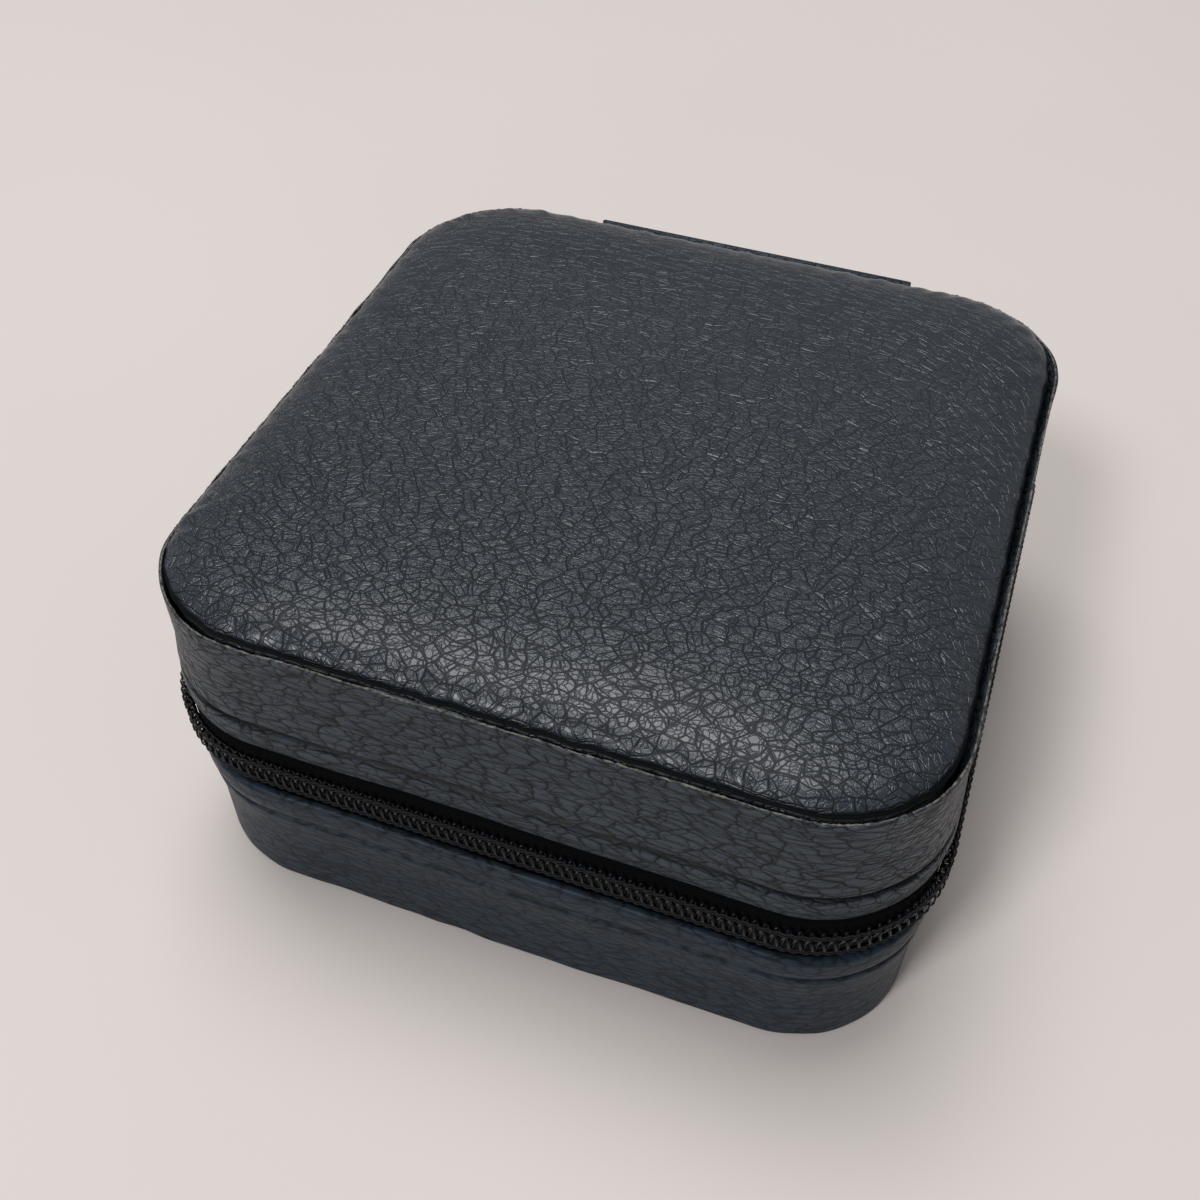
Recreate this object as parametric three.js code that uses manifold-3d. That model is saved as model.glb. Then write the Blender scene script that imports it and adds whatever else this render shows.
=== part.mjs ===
// A small square travel jewellery case, zipped round its sides and hinged at the back by a leather strap.
// Millimetres, +Z up, +X to the right and +Y to the back. The origin is the middle of the underside.
//
// The base and the lid are each a greyboard tray: a side frame and a board, covered outside in coated leather
// and lined inside with velvet. A coil zip joins them. The base holds ring rolls and lift-out dividers, and the
// lid a gathered pocket and three press-stud straps for necklaces.
import * as THREE from "three";
import { mergeVertices } from "three/addons/utils/BufferGeometryUtils.js";
import Module from "manifold-3d";

// ---- Driving dimensions -----------------------------------------------------------------------------------
const caseSide = 100; // width and depth over the leather, at the table and at the lid's edge
const cornerRadius = 16.7; // of that outline
const baseHeight = 20.4; // table to the base's leather rim
const zipGap = 10.2; // between the two leather rims
const chainLift = 1.2; // how far above the middle of that gap the chain runs
const lidHeight = 18.0; // the lid's rim to its upper edge
const crownRise = 3.2; // how far the padded top stands above that edge
const cornerSegments = 6;

const leather = 1.0;
const rimLip = 0.6; // the turned-over rim stands this proud of the sides
const tape = 0.6;
const greyboard = 2.0;
const velvet = 0.8;
const panelLining = 1.1; // velvet on its card, floor and ceiling
const glueLine = 0.1; // between two glued faces
const seam = 0.3; // open line between a cover panel and the side leather round it

const coilWidth = 1.85; // one half of the closed chain
const coilDepth = 1.25;
const chainGap = 0.7; // between the halves, where the slider's web runs
const tapeWidth = 12.5;

const partitionX = -8.3; // middle of the fixed wall between rings and compartments
const dividerSpacing = 30;
const boardDivider = 1.6;
const ringRows = 8;
const fillHeight = 14.7; // rolls and dividers, above the floor lining
const fitPlay = 0.3; // each side of a lift-out divider

const strapWidth = 50; // the leather hinge across the back
const strapShift = 1.0; // it is glued a little to the right of the middle
const strapFoot = 4.4; // above the table
const strapPast = 0.2; // its top end stands this far above the lid's edge
const leatherStrap = 0.8;

const necklaceStraps = 3;
const necklacePitch = 26;
const flapLength = 18.5;
const flapWidth = 9;
const flapLeather = 1.0;
const sewnLength = 3.6; // of each strap, stitched to the ceiling
const studRadius = 1.4;
const capRadius = 4.0;

const pocketWidth = 68;
const pocketLength = 40;
const pocketRoom = 4.9; // clear height inside the pocket
const pocketCloth = 0.8;

const sliderLength = 8.6;
const sliderWidth = 6.0;
const wing = 0.9;
const sliderPlay = 0.3;
const bridgeWindow = 1.5;
const bridgeSpan = 3.0; // clear length under the bridge
const legLength = 1.0;
const barHeight = 1.6;
const pullLength = 18.7;
const pullThickness = 1.0;

// ---- Heights and insets worked out from them ----------------------------------------------------------------
const half = caseSide / 2;
const lidRim = baseHeight + zipGap;
const lidEdge = lidRim + lidHeight;
const zipLine = baseHeight + zipGap / 2 + chainLift;

// Insets are measured inwards from the leather's outline; each layer stands inside the one before it.
const tapeInset = leather + glueLine;
const frameInset = tapeInset + tape + glueLine;
const liningInset = frameInset + greyboard + glueLine;
const cavityInset = liningInset + velvet;
const coverInset = leather + seam;

const boardBottom = leather + glueLine;
const frameBottom = boardBottom + greyboard + glueLine;
const floorTop = frameBottom + panelLining;
const floor = floorTop + glueLine; // what stands in the base stands here
const rollTop = floor + fillHeight;

const foamBottom = lidEdge - 1.8;
const lidBoardTop = foamBottom - glueLine;
const lidBoardBottom = lidBoardTop - greyboard;
const ceilingTop = lidBoardBottom - glueLine;
const ceiling = ceilingTop - panelLining;

const cavityHalf = half - cavityInset;
const cavityRadius = cornerRadius - cavityInset;

const coilFace = 0.45; // the coil's back, outside the leather's outline
const tapeBow = 0.4; // the tape bows out to here between the rims
const bowStart = chainGap / 2 + coilWidth + 0.3;

// ---- Materials ----------------------------------------------------------------------------------------------
const finish = (color, roughness, metalness = 0) => new THREE.MeshStandardMaterial({ color, roughness, metalness });
const navyLeather = finish("#262b33", 0.5);
const nylonCoil = finish("#10151b", 0.35);
const wovenTape = finish("#0d1014", 0.9);
const greyVelvet = finish("#9a9188", 0.95);
const board = finish("#8d8a84", 0.9);
const foam = finish("#d8d4c8", 0.95);
const nickel = finish("#b9bbbd", 0.3, 1);
const greyElastic = finish("#857d75", 0.9);

// ---- Geometry helpers ---------------------------------------------------------------------------------------
const wasm = await Module();
wasm.setup();

function toSolid(geometry) {
  const bare = geometry.index ? geometry.toNonIndexed() : geometry.clone();
  bare.deleteAttribute("normal");
  bare.deleteAttribute("uv");
  const merged = mergeVertices(bare, 1e-4);
  const vertProperties = merged.attributes.position.array;
  const triVerts = new Uint32Array(merged.index.array);
  return new wasm.Manifold(new wasm.Mesh({ numProp: 3, vertProperties, triVerts }));
}

function toGeometry(solid) {
  const mesh = solid.getMesh();
  return new THREE.BufferGeometry()
    .setAttribute("position", new THREE.BufferAttribute(mesh.vertProperties, 3))
    .setIndex(new THREE.BufferAttribute(mesh.triVerts, 1));
}

const fuse = (...pieces) => toGeometry(pieces.map(toSolid).reduce((sum, next) => sum.add(next)));
const cut = (piece, ...tools) => toGeometry(tools.map(toSolid).reduce((rest, tool) => rest.subtract(tool), toSolid(piece)));
const common = (a, b) => toGeometry(toSolid(a).intersect(toSolid(b)));

// One corner's stations: the arc's centre and the direction it faces.
function cornerStations(signX, signY, fromAngle) {
  const centre = half - cornerRadius;
  return Array.from({ length: cornerSegments + 1 }, (_, i) => ({
    x: signX * centre,
    y: signY * centre,
    angle: fromAngle + ((Math.PI / 2) * i) / cornerSegments,
  }));
}

const frontRight = cornerStations(1, -1, -Math.PI / 2);
const backRight = cornerStations(1, 1, 0);
const backLeft = cornerStations(-1, 1, Math.PI / 2);
const frontLeft = cornerStations(-1, -1, Math.PI);
const allRound = [...frontRight, ...backRight, ...backLeft, ...frontLeft];

const counterClockwise = (profile) => {
  const points = profile.map(([out, z]) => new THREE.Vector2(out, z));
  return THREE.ShapeUtils.area(points) > 0 ? profile : [...profile].reverse();
};

// A wall: a profile of [out, z] points carried past the stations, closed on itself or capped at both ends.
function wallGeometry(profile, stations, closed = true) {
  const section = counterClockwise(profile);
  const size = section.length;
  const points = stations.flatMap(({ x, y, angle }) =>
    section.map(([out, z]) => {
      const reach = cornerRadius + out;
      return [x + reach * Math.cos(angle), y + reach * Math.sin(angle), z];
    }),
  );
  const index = [];
  const lastStation = closed ? stations.length : stations.length - 1;
  for (let s = 0; s < lastStation; s++) {
    const here = s * size;
    const there = ((s + 1) % stations.length) * size;
    for (let p = 0; p < size; p++) {
      const q = (p + 1) % size;
      index.push(here + p, there + p, there + q, here + p, there + q, here + q);
    }
  }
  if (!closed) {
    const outline = section.map(([out, z]) => new THREE.Vector2(out, z));
    const end = (stations.length - 1) * size;
    for (const [a, b, c] of THREE.ShapeUtils.triangulateShape(outline, [])) {
      index.push(a, b, c);
      index.push(end + a, end + c, end + b);
    }
  }
  return indexed(points, index);
}

function indexed(points, index) {
  return new THREE.BufferGeometry()
    .setAttribute("position", new THREE.Float32BufferAttribute(points.flat(), 3))
    .setIndex(index);
}

// The case's outline drawn in by an inset. Far in, its corners keep a small radius.
function outline(inset) {
  const reach = half - inset;
  const radius = Math.max(cornerRadius - inset, 1);
  return allRound.map(({ x, y, angle }) => [
    Math.sign(x) * (reach - radius) + radius * Math.cos(angle),
    Math.sign(y) * (reach - radius) + radius * Math.sin(angle),
  ]);
}

// A closed body skinned over outlines, each [inset, z], with a flat cap on the first and the last.
function stackGeometry(levels) {
  const size = allRound.length;
  const points = levels.flatMap(([inset, z]) => outline(inset).map(([x, y]) => [x, y, z]));
  const index = [];
  for (let l = 0; l + 1 < levels.length; l++) {
    for (let p = 0; p < size; p++) {
      const q = (p + 1) % size;
      const [below, above] = [l * size, (l + 1) * size];
      index.push(below + p, below + q, above + q, below + p, above + q, above + p);
    }
  }
  const top = (levels.length - 1) * size;
  for (let p = 1; p + 1 < size; p++) {
    index.push(0, p + 1, p);
    index.push(top, top + p, top + p + 1);
  }
  return indexed(points, index);
}

const plateGeometry = (inset, bottom, top) => stackGeometry([[inset, bottom], [inset, top]]);

function blockGeometry([x0, x1], [y0, y1], [z0, z1]) {
  return new THREE.BoxGeometry(x1 - x0, y1 - y0, z1 - z0).translate((x0 + x1) / 2, (y0 + y1) / 2, (z0 + z1) / 2);
}

// A block on the zip's left-hand run: along the chain is Y, up is Z, and out is away from the leather's outline.
const chainBlock = (along, up, [out0, out1]) => blockGeometry([-half - out1, -half - out0], along, up);

const parts = new THREE.Group();
function add(name, geometry, material) {
  const mesh = new THREE.Mesh(geometry, material);
  mesh.name = name;
  parts.add(mesh);
  return mesh;
}

// ---- Side leather: a band with a turned-over rim beside the zip --------------------------------------------
// rim is the height of the zip edge, far the other edge, and up is +1 where the rim is uppermost.
function sideLeather(rim, far, up) {
  return [
    [0, far],
    [rimLip / 2, rim - up * 4.8],
    [rimLip, rim - up * 3.2],
    [rimLip, rim - up * 0.6],
    [rimLip - 0.4, rim],
    [-leather, rim],
    [-leather, far],
  ];
}
add("base_side_leather", wallGeometry(sideLeather(baseHeight, seam, 1), allRound), navyLeather);
add("lid_side_leather", wallGeometry(sideLeather(lidRim, lidEdge, -1), allRound), navyLeather);

// ---- Zip tapes: glued between leather and frame, bowing out to carry the coil ------------------------------
function tapeProfile(side) {
  const z = (distance) => zipLine + side * distance;
  const tucked = zipGap / 2 - side * chainLift + glueLine;
  return [
    [-tapeInset, z(tapeWidth)],
    [-tapeInset, z(tucked)],
    [tapeBow, z(bowStart)],
    [tapeBow, z(chainGap / 2)],
    [tapeBow - tape, z(chainGap / 2)],
    [tapeBow - tape, z(bowStart)],
    [-tapeInset - tape, z(tucked)],
    [-tapeInset - tape, z(tapeWidth)],
  ];
}
add("base_zip_tape", wallGeometry(tapeProfile(-1), allRound), wovenTape);
add("lid_zip_tape", wallGeometry(tapeProfile(1), allRound), wovenTape);

// ---- Zip chain: from its top stops on the left side, round the front, to the strap at the back -------------
const strapEdges = [strapShift - strapWidth / 2, strapShift + strapWidth / 2];
const sideRunEnd = half - cornerRadius; // where the straight left side meets the back corner
const stopLength = 1.4;
const chainStart = sideRunEnd - stopLength;
const chainStations = [
  { x: -sideRunEnd, y: chainStart, angle: Math.PI },
  ...frontLeft,
  ...frontRight,
  ...backRight,
  { x: strapEdges[1] + 0.5, y: sideRunEnd, angle: Math.PI / 2 },
];
function coilProfile(side) {
  const [near, far] = [chainGap / 2, chainGap / 2 + coilWidth].map((distance) => zipLine + side * distance);
  return [[coilFace, near], [coilFace + coilDepth, near], [coilFace + coilDepth, far], [coilFace, far]];
}
add("base_zip_coil", wallGeometry(coilProfile(-1), chainStations, false), nylonCoil);
add("lid_zip_coil", wallGeometry(coilProfile(1), chainStations, false), nylonCoil);

const stopSpan = [chainStart + 0.2, sideRunEnd];
for (const [name, side] of [["base_top_stop", -1], ["lid_top_stop", 1]]) {
  const heights = [chainGap / 2, chainGap / 2 + coilWidth + 0.1].map((distance) => zipLine + side * distance);
  const up = [Math.min(...heights), Math.max(...heights)];
  add(name, chainBlock(stopSpan, up, [coilFace, coilFace + coilDepth + 0.05]), nickel);
}

// ---- Greyboard trays ----------------------------------------------------------------------------------------
const ring = (inset, thick, bottom, top) => [[-inset, bottom], [-inset, top], [-inset - thick, top], [-inset - thick, bottom]];
const baseFrameTop = baseHeight - velvet;
const lidFrameBottom = lidRim + velvet;
add("base_frame", wallGeometry(ring(frameInset, greyboard, frameBottom, baseFrameTop), allRound), board);
add("base_board", plateGeometry(frameInset, boardBottom, boardBottom + greyboard), board);
add("lid_frame", wallGeometry(ring(frameInset, greyboard, lidFrameBottom, lidBoardBottom - glueLine), allRound), board);
add("lid_board", plateGeometry(frameInset, lidBoardBottom, lidBoardTop), board);

// ---- Linings: velvet on the walls, folded over each frame's rim, and on the floor and ceiling --------------
function wallLining(rim, frameRim, far) {
  const [outer, inner] = [-liningInset, -liningInset - velvet];
  const fold = frameRim + Math.sign(rim - frameRim) * glueLine;
  return [[inner, far], [outer, far], [outer, fold], [-frameInset, fold], [-frameInset, rim], [inner, rim]];
}
add("base_wall_lining", wallGeometry(wallLining(baseHeight, baseFrameTop, floor), allRound), greyVelvet);
add("lid_wall_lining", wallGeometry(wallLining(lidRim, lidFrameBottom, ceiling - glueLine), allRound), greyVelvet);
add("base_floor_lining", plateGeometry(liningInset, frameBottom, floorTop), greyVelvet);
add("lid_ceiling_lining", plateGeometry(liningInset, ceiling, ceilingTop), greyVelvet);

// ---- Cover panels ---------------------------------------------------------------------------------------------
add("base_bottom_leather", plateGeometry(coverInset, 0, leather), navyLeather);

// The padded top: rounded over its edge in a quarter ellipse, then nearly flat to the middle.
const crownReach = 15;
const crownEdge = lidEdge - 0.8;
const crownSteps = 6;
function crownLevels(inset, edge, rise, reach) {
  return Array.from({ length: crownSteps + 1 }, (_, i) => {
    const angle = ((Math.PI / 2) * i) / crownSteps;
    return [inset + reach * (1 - Math.cos(angle)), edge + rise * Math.sin(angle)];
  });
}
const crownTop = crownRise + lidEdge - crownEdge;
const leatherCrown = stackGeometry([[coverInset, foamBottom], ...crownLevels(coverInset, crownEdge, crownTop, crownReach)]);
const foamRoom = [
  [coverInset + leather, foamBottom - 1],
  ...crownLevels(coverInset + leather, crownEdge - leather / 2, crownTop - leather / 2, crownReach - leather),
];
const foamInset = coverInset + leather + glueLine;
const foamCrown = [
  [foamInset, foamBottom],
  ...crownLevels(foamInset, crownEdge - leather / 2 - glueLine, crownTop - leather / 2 - glueLine, crownReach - leather),
];
add("lid_top_leather", cut(leatherCrown, stackGeometry(foamRoom)), navyLeather);
add("lid_foam", stackGeometry(foamCrown), foam);

// ---- Hinge strap across the back, over both halves -----------------------------------------------------------
const strapFace = rimLip + 0.15;
const strapHeights = [strapFoot, lidEdge + strapPast];
add(
  "hinge_strap",
  blockGeometry(strapEdges, [half + strapFace, half + strapFace + leatherStrap], strapHeights),
  navyLeather,
);

// ---- Ring rolls: velvet over foam, side by side, the end ones trimmed to the corners ------------------------
const cavityWall = fitPlay / 2;
const partitionThick = 1.4;
const rowSpan = [-cavityHalf + cavityWall, partitionX - partitionThick / 2 - 2 * glueLine];
const rowPitch = (2 * (cavityHalf - cavityWall)) / ringRows;
const rowHalf = (rowPitch - glueLine) / 2;
const trimBlock = plateGeometry(cavityInset + cavityWall, 0, lidEdge);

function rollGeometry(middleY) {
  const shoulder = fillHeight - rowHalf;
  const section = new THREE.Shape();
  section.moveTo(-rowHalf, 0);
  section.lineTo(rowHalf, 0);
  section.lineTo(rowHalf, shoulder);
  section.absarc(0, shoulder, rowHalf, 0, Math.PI, false);
  const body = new THREE.ExtrudeGeometry(section, { depth: rowSpan[1] - rowSpan[0], bevelEnabled: false, curveSegments: 8 });
  body.rotateX(Math.PI / 2).rotateZ(Math.PI / 2);
  return body.translate(rowSpan[0], middleY, floor);
}
for (let row = 0; row < ringRows; row++) {
  const middleY = (row - (ringRows - 1) / 2) * rowPitch;
  add(`ring_roll_${row + 1}`, common(rollGeometry(middleY), trimBlock), greyVelvet);
}

// ---- Partition and lift-out dividers -------------------------------------------------------------------------
const partitionSpan = [partitionX - partitionThick / 2, partitionX + partitionThick / 2];
const wallReach = cavityHalf - fitPlay;
add("partition", blockGeometry(partitionSpan, [-wallReach, wallReach], [floor, rollTop]), greyVelvet);
for (const [name, side] of [["divider_front", -1], ["divider_rear", 1]]) {
  const middle = (side * dividerSpacing) / 2;
  const depth = [middle - boardDivider / 2, middle + boardDivider / 2];
  add(name, blockGeometry([partitionSpan[1] + fitPlay, wallReach], depth, [floor, rollTop]), greyVelvet);
}

// ---- Lid pocket: a shallow pan of gathered velvet, open towards the front ------------------------------------
const pocketEnd = cavityHalf - 3;
const pocketMouth = pocketEnd - pocketLength;
const pocketTop = ceiling - glueLine;
const pocketFloor = pocketTop - pocketRoom;
const pocketOuter = blockGeometry([-pocketWidth / 2, pocketWidth / 2], [pocketMouth, pocketEnd], [pocketFloor - pocketCloth, pocketTop]);
const pocketInner = blockGeometry(
  [-pocketWidth / 2 + pocketCloth, pocketWidth / 2 - pocketCloth],
  [pocketMouth - 1, pocketEnd - pocketCloth],
  [pocketFloor, pocketTop + 1],
);
add("lid_pocket", cut(pocketOuter, pocketInner), greyVelvet);
add(
  "pocket_elastic",
  blockGeometry(
    [-pocketWidth / 2, pocketWidth / 2],
    [pocketMouth - glueLine - 1.2, pocketMouth - glueLine],
    [pocketFloor - pocketCloth, pocketFloor + 0.2],
  ),
  greyElastic,
);

// ---- Necklace straps: sewn at the front, closed by a press stud at the free end ------------------------------
const flapTop = ceiling - 1.0;
const flapRoot = -cavityHalf + 6.9;
const studY = flapRoot + flapLength - flapWidth / 2;
function flapGeometry(middleX) {
  const tongue = new THREE.Shape();
  tongue.moveTo(-flapWidth / 2, 0);
  tongue.lineTo(flapWidth / 2, 0);
  tongue.absarc(0, flapLength - flapWidth / 2, flapWidth / 2, 0, Math.PI, false);
  tongue.holes.push(new THREE.Path().absarc(0, flapLength - flapWidth / 2, studRadius + 0.6, 0, 2 * Math.PI, true));
  const body = new THREE.ExtrudeGeometry(tongue, { depth: flapLeather, bevelEnabled: false, curveSegments: 12 });
  return body.translate(middleX, flapRoot, flapTop - flapLeather);
}
function turned(profile, middleX, bottom) {
  const points = profile.map(([radius, height]) => new THREE.Vector2(radius, height));
  return new THREE.LatheGeometry(points, 16).rotateX(Math.PI / 2).translate(middleX, studY, bottom);
}
const capHeight = 0.8;
const capProfile = [[0, 0], [capRadius * 0.6, 0.1], [capRadius, 0.5], [capRadius, capHeight], [0, capHeight]];
const studHeight = ceiling - glueLine - (flapTop - flapLeather * 0.8);
const studProfile = [
  [0, 0],
  [studRadius, 0],
  [studRadius, studHeight - 0.5],
  [studRadius * 2, studHeight - 0.5],
  [studRadius * 2, studHeight],
  [0, studHeight],
];
for (let n = 1; n <= necklaceStraps; n++) {
  const middleX = (n - (necklaceStraps + 1) / 2) * necklacePitch;
  const across = [middleX - flapWidth / 2, middleX + flapWidth / 2];
  add(
    `necklace_strap_end_${n}`,
    blockGeometry(across, [flapRoot - sewnLength, flapRoot - seam], [flapTop + glueLine, ceiling - glueLine]),
    navyLeather,
  );
  add(`necklace_strap_${n}`, flapGeometry(middleX), navyLeather);
  add(`snap_cap_${n}`, turned(capProfile, middleX, flapTop - flapLeather - glueLine - capHeight), nickel);
  add(`snap_stud_${n}`, turned(studProfile, middleX, flapTop - flapLeather * 0.8), nickel);
}

// ---- Slider and its pull, parked against the top stops on the left side --------------------------------------
const sliderEnd = chainStart - 0.3;
const sliderSpan = [sliderEnd - sliderLength, sliderEnd];
const outerFace = coilFace + coilDepth + sliderPlay;
const innerFace = tapeBow - tape - sliderPlay;
const bridgeFoot = outerFace + wing;
const bridgeStart = sliderSpan[0] + 1.6;
const legs = [
  [bridgeStart, bridgeStart + legLength],
  [bridgeStart + legLength + bridgeSpan, bridgeStart + 2 * legLength + bridgeSpan],
];
const barSpan = [zipLine - barHeight / 2, zipLine + barHeight / 2];
function sliderGeometry() {
  const halfWidth = sliderWidth / 2;
  const innerHalf = bowStart - 0.1;
  const flangeTop = zipLine - chainGap / 2 - coilWidth - sliderPlay;
  return fuse(
    chainBlock(sliderSpan, [zipLine - halfWidth, zipLine + halfWidth], [outerFace, bridgeFoot]),
    chainBlock(sliderSpan, [zipLine - halfWidth, flangeTop], [tapeBow + sliderPlay, outerFace]),
    chainBlock(sliderSpan, [zipLine - innerHalf, zipLine + innerHalf], [innerFace - wing, innerFace]),
    chainBlock([sliderEnd - 3, sliderEnd], [zipLine - 0.2, zipLine + 0.2], [innerFace, outerFace]),
    ...legs.map((leg) => chainBlock(leg, barSpan, [bridgeFoot, bridgeFoot + bridgeWindow])),
    chainBlock([legs[0][0], legs[1][1]], barSpan, [bridgeFoot + bridgeWindow, bridgeFoot + bridgeWindow + wing]),
  );
}
add("zip_slider", sliderGeometry(), nickel);

// The pull hangs from the bridge's front leg, which its eye goes round.
const eyeRadius = Math.hypot(legLength, barHeight) / 2 + sliderPlay;
const eyeRim = eyeRadius + 1.1;
const neck = 1.1;
const tabHalf = 3.2;
function pullGeometry() {
  const neckAngle = Math.asin(neck / eyeRim);
  const tabCentre = tabHalf - pullLength;
  const plate = new THREE.Shape();
  plate.absarc(0, 0, eyeRim, -Math.PI / 2 + neckAngle, (3 * Math.PI) / 2 - neckAngle, false);
  plate.lineTo(-neck, -5);
  plate.lineTo(-tabHalf, -8.5);
  plate.absarc(0, tabCentre, tabHalf, Math.PI, 2 * Math.PI, false);
  plate.lineTo(tabHalf, -8.5);
  plate.lineTo(neck, -5);
  plate.closePath();
  plate.holes.push(new THREE.Path().absarc(0, 0, eyeRadius, 0, 2 * Math.PI, true));
  const body = new THREE.ExtrudeGeometry(plate, { depth: pullThickness, bevelEnabled: false, curveSegments: 10 });
  body.rotateX(Math.PI / 2).rotateZ(Math.PI / 2);
  const play = (bridgeWindow - pullThickness) / 2;
  return body.translate(-half - bridgeFoot - play - pullThickness, bridgeStart + legLength / 2, zipLine);
}
add("zip_pull", pullGeometry(), nickel);

export default parts;
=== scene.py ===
import bmesh
import bpy
import numpy as np
from mathutils import Matrix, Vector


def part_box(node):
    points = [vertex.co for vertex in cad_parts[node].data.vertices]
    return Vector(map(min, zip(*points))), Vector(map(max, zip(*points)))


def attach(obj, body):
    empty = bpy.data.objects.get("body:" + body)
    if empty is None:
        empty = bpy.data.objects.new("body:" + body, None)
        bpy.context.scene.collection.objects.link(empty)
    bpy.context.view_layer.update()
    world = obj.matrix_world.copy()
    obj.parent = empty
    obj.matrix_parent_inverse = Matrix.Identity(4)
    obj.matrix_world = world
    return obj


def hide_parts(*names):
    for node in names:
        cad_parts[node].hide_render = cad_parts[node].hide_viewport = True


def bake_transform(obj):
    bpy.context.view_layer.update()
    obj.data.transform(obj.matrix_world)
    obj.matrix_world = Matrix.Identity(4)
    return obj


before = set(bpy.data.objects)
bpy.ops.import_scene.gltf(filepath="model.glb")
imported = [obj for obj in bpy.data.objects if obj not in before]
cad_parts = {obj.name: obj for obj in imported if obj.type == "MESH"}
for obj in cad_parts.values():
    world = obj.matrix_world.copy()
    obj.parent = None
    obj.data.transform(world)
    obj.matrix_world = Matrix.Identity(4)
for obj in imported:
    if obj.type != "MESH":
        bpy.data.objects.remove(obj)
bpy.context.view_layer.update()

mm = 0.001

# ---- Camera --------------------------------------------------------------------------------------------
# It looks down on the lid from the front and a little from the right, with a normal lens, and is held
# slightly out of level. The aim is the point of the case that lies on the middle of the view.
heading, elevation, roll = np.radians([19.66, 47.07, 0.65])
aim = np.array([-4.1, -4.7, 22.1]) * mm
distance = 196 * mm
outward = np.array([np.sin(heading), -np.cos(heading), 0])
back = np.cos(elevation) * outward + np.sin(elevation) * np.array([0, 0, 1])
level = np.array([np.cos(heading), np.sin(heading), 0])
upright = np.cross(back, level)
across = np.cos(roll) * level + np.sin(roll) * upright
upwards = np.cos(roll) * upright - np.sin(roll) * level

camera = bpy.data.objects.new("camera", bpy.data.cameras.new("camera"))
camera.data.lens = 40.3
camera.data.clip_start = 0.01
columns = np.eye(4)
columns[:3] = np.stack([across, upwards, back, aim + distance * back], axis=1)
camera.matrix_world = Matrix(columns.tolist())
bpy.context.scene.collection.objects.link(camera)
bpy.context.scene.camera = camera


# ---- Table and light -----------------------------------------------------------------------------------
# A pale, warm grey matte table top in soft room light: a broad lamp high over the case, a little to the
# left and behind, a weaker one high in front, and dim walls all round.
def linear(colour):
    """An sRGB hex colour as linear RGBA, by the sRGB curve."""
    value = np.array([int(colour[i : i + 2], 16) for i in (1, 3, 5)]) / 255
    value = np.where(value <= 0.04045, value / 12.92, ((value + 0.055) / 1.055) ** 2.4)
    return (*value, 1.0)


def add_node(tree, kind, inputs=None, **settings):
    """A new node with its settings. inputs maps a socket to a value, or to the output that it is linked
    from."""
    added = tree.nodes.new(kind)
    for name, value in settings.items():
        setattr(added, name, value)
    for socket, value in (inputs or {}).items():
        if isinstance(value, bpy.types.NodeSocket):
            tree.links.new(value, added.inputs[socket])
        else:
            added.inputs[socket].default_value = value
    return added


def new_material(name, **sockets):
    """A material with its shader's constant sockets set. It gives back the material, its tree and the
    shader."""
    material = bpy.data.materials.new(name)
    material.use_nodes = True
    shader = material.node_tree.nodes["Principled BSDF"]
    for socket, value in sockets.items():
        shader.inputs[socket.replace("_", " ")].default_value = value
    return material, material.node_tree, shader


def paint(tree, shader, share, dark, light, ends=(0.0, 1.0)):
    """The base colour runs from dark to light as share goes from one of the ends to the other."""
    tone = add_node(tree, "ShaderNodeValToRGB", {"Fac": share})
    for stop, place, colour in zip(tone.color_ramp.elements, ends, (dark, light)):
        stop.position = place
        stop.color = linear(colour)
    tree.links.new(tone.outputs["Color"], shader.inputs["Base Color"])


def grid_piece(name, points, material, along=None, around=None, closed=(True, True), weld=False):
    """A smooth mesh through a grid of points: steps along a path by points round a section, for one or
    more copies. closed joins the last to the first each way, and an open path with a closed section gets
    end faces. An open sheet faces the way that its steps cross its section. along and around, in metres
    and one longer where closed, become the UV map in millimetres."""
    if points.ndim == 3:
        points = points[None]
    copies, steps, section = points.shape[:3]
    i = np.arange(steps if closed[0] else steps - 1)[:, None]
    j = np.arange(section if closed[1] else section - 1)[None, :]
    corners = [np.broadcast_arrays(i + a, j + b) for a, b in ((0, 0), (1, 0), (1, 1), (0, 1))]
    quads = np.stack([(a % steps) * section + b % section for a, b in corners], axis=-1).reshape(-1, 4)
    starts = np.arange(copies) * steps * section
    faces = (quads[None] + starts[:, None, None]).reshape(-1, 4).tolist()
    if closed == (False, True):
        for start in starts.tolist():
            faces.append(list(range(start + section - 1, start - 1, -1)))
            faces.append(list(range(start + (steps - 1) * section, start + steps * section)))
    mesh = bpy.data.meshes.new(name)
    mesh.from_pydata(points.reshape(-1, 3), [], faces)
    if along is not None:
        uv = np.zeros((len(mesh.loops), 2), np.float32)
        walked = np.stack([np.stack([along[a], around[b]], axis=-1) for a, b in corners], axis=-2) / mm
        uv[: copies * quads.size] = np.tile(walked.reshape(-1, 2), (copies, 1))
        mesh.uv_layers.new(name="walked").data.foreach_set("uv", uv.ravel())
    shape = bmesh.new()
    shape.from_mesh(mesh)
    if weld:
        bmesh.ops.remove_doubles(shape, verts=shape.verts, dist=0.002 * mm)
    if closed[1]:
        bmesh.ops.recalc_face_normals(shape, faces=shape.faces)
    shape.to_mesh(mesh)
    shape.free()
    mesh.polygons.foreach_set("use_smooth", [True] * len(mesh.polygons))
    mesh.materials.append(material)
    piece = bpy.data.objects.new(name, mesh)
    bpy.context.scene.collection.objects.link(piece)
    return piece


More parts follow.
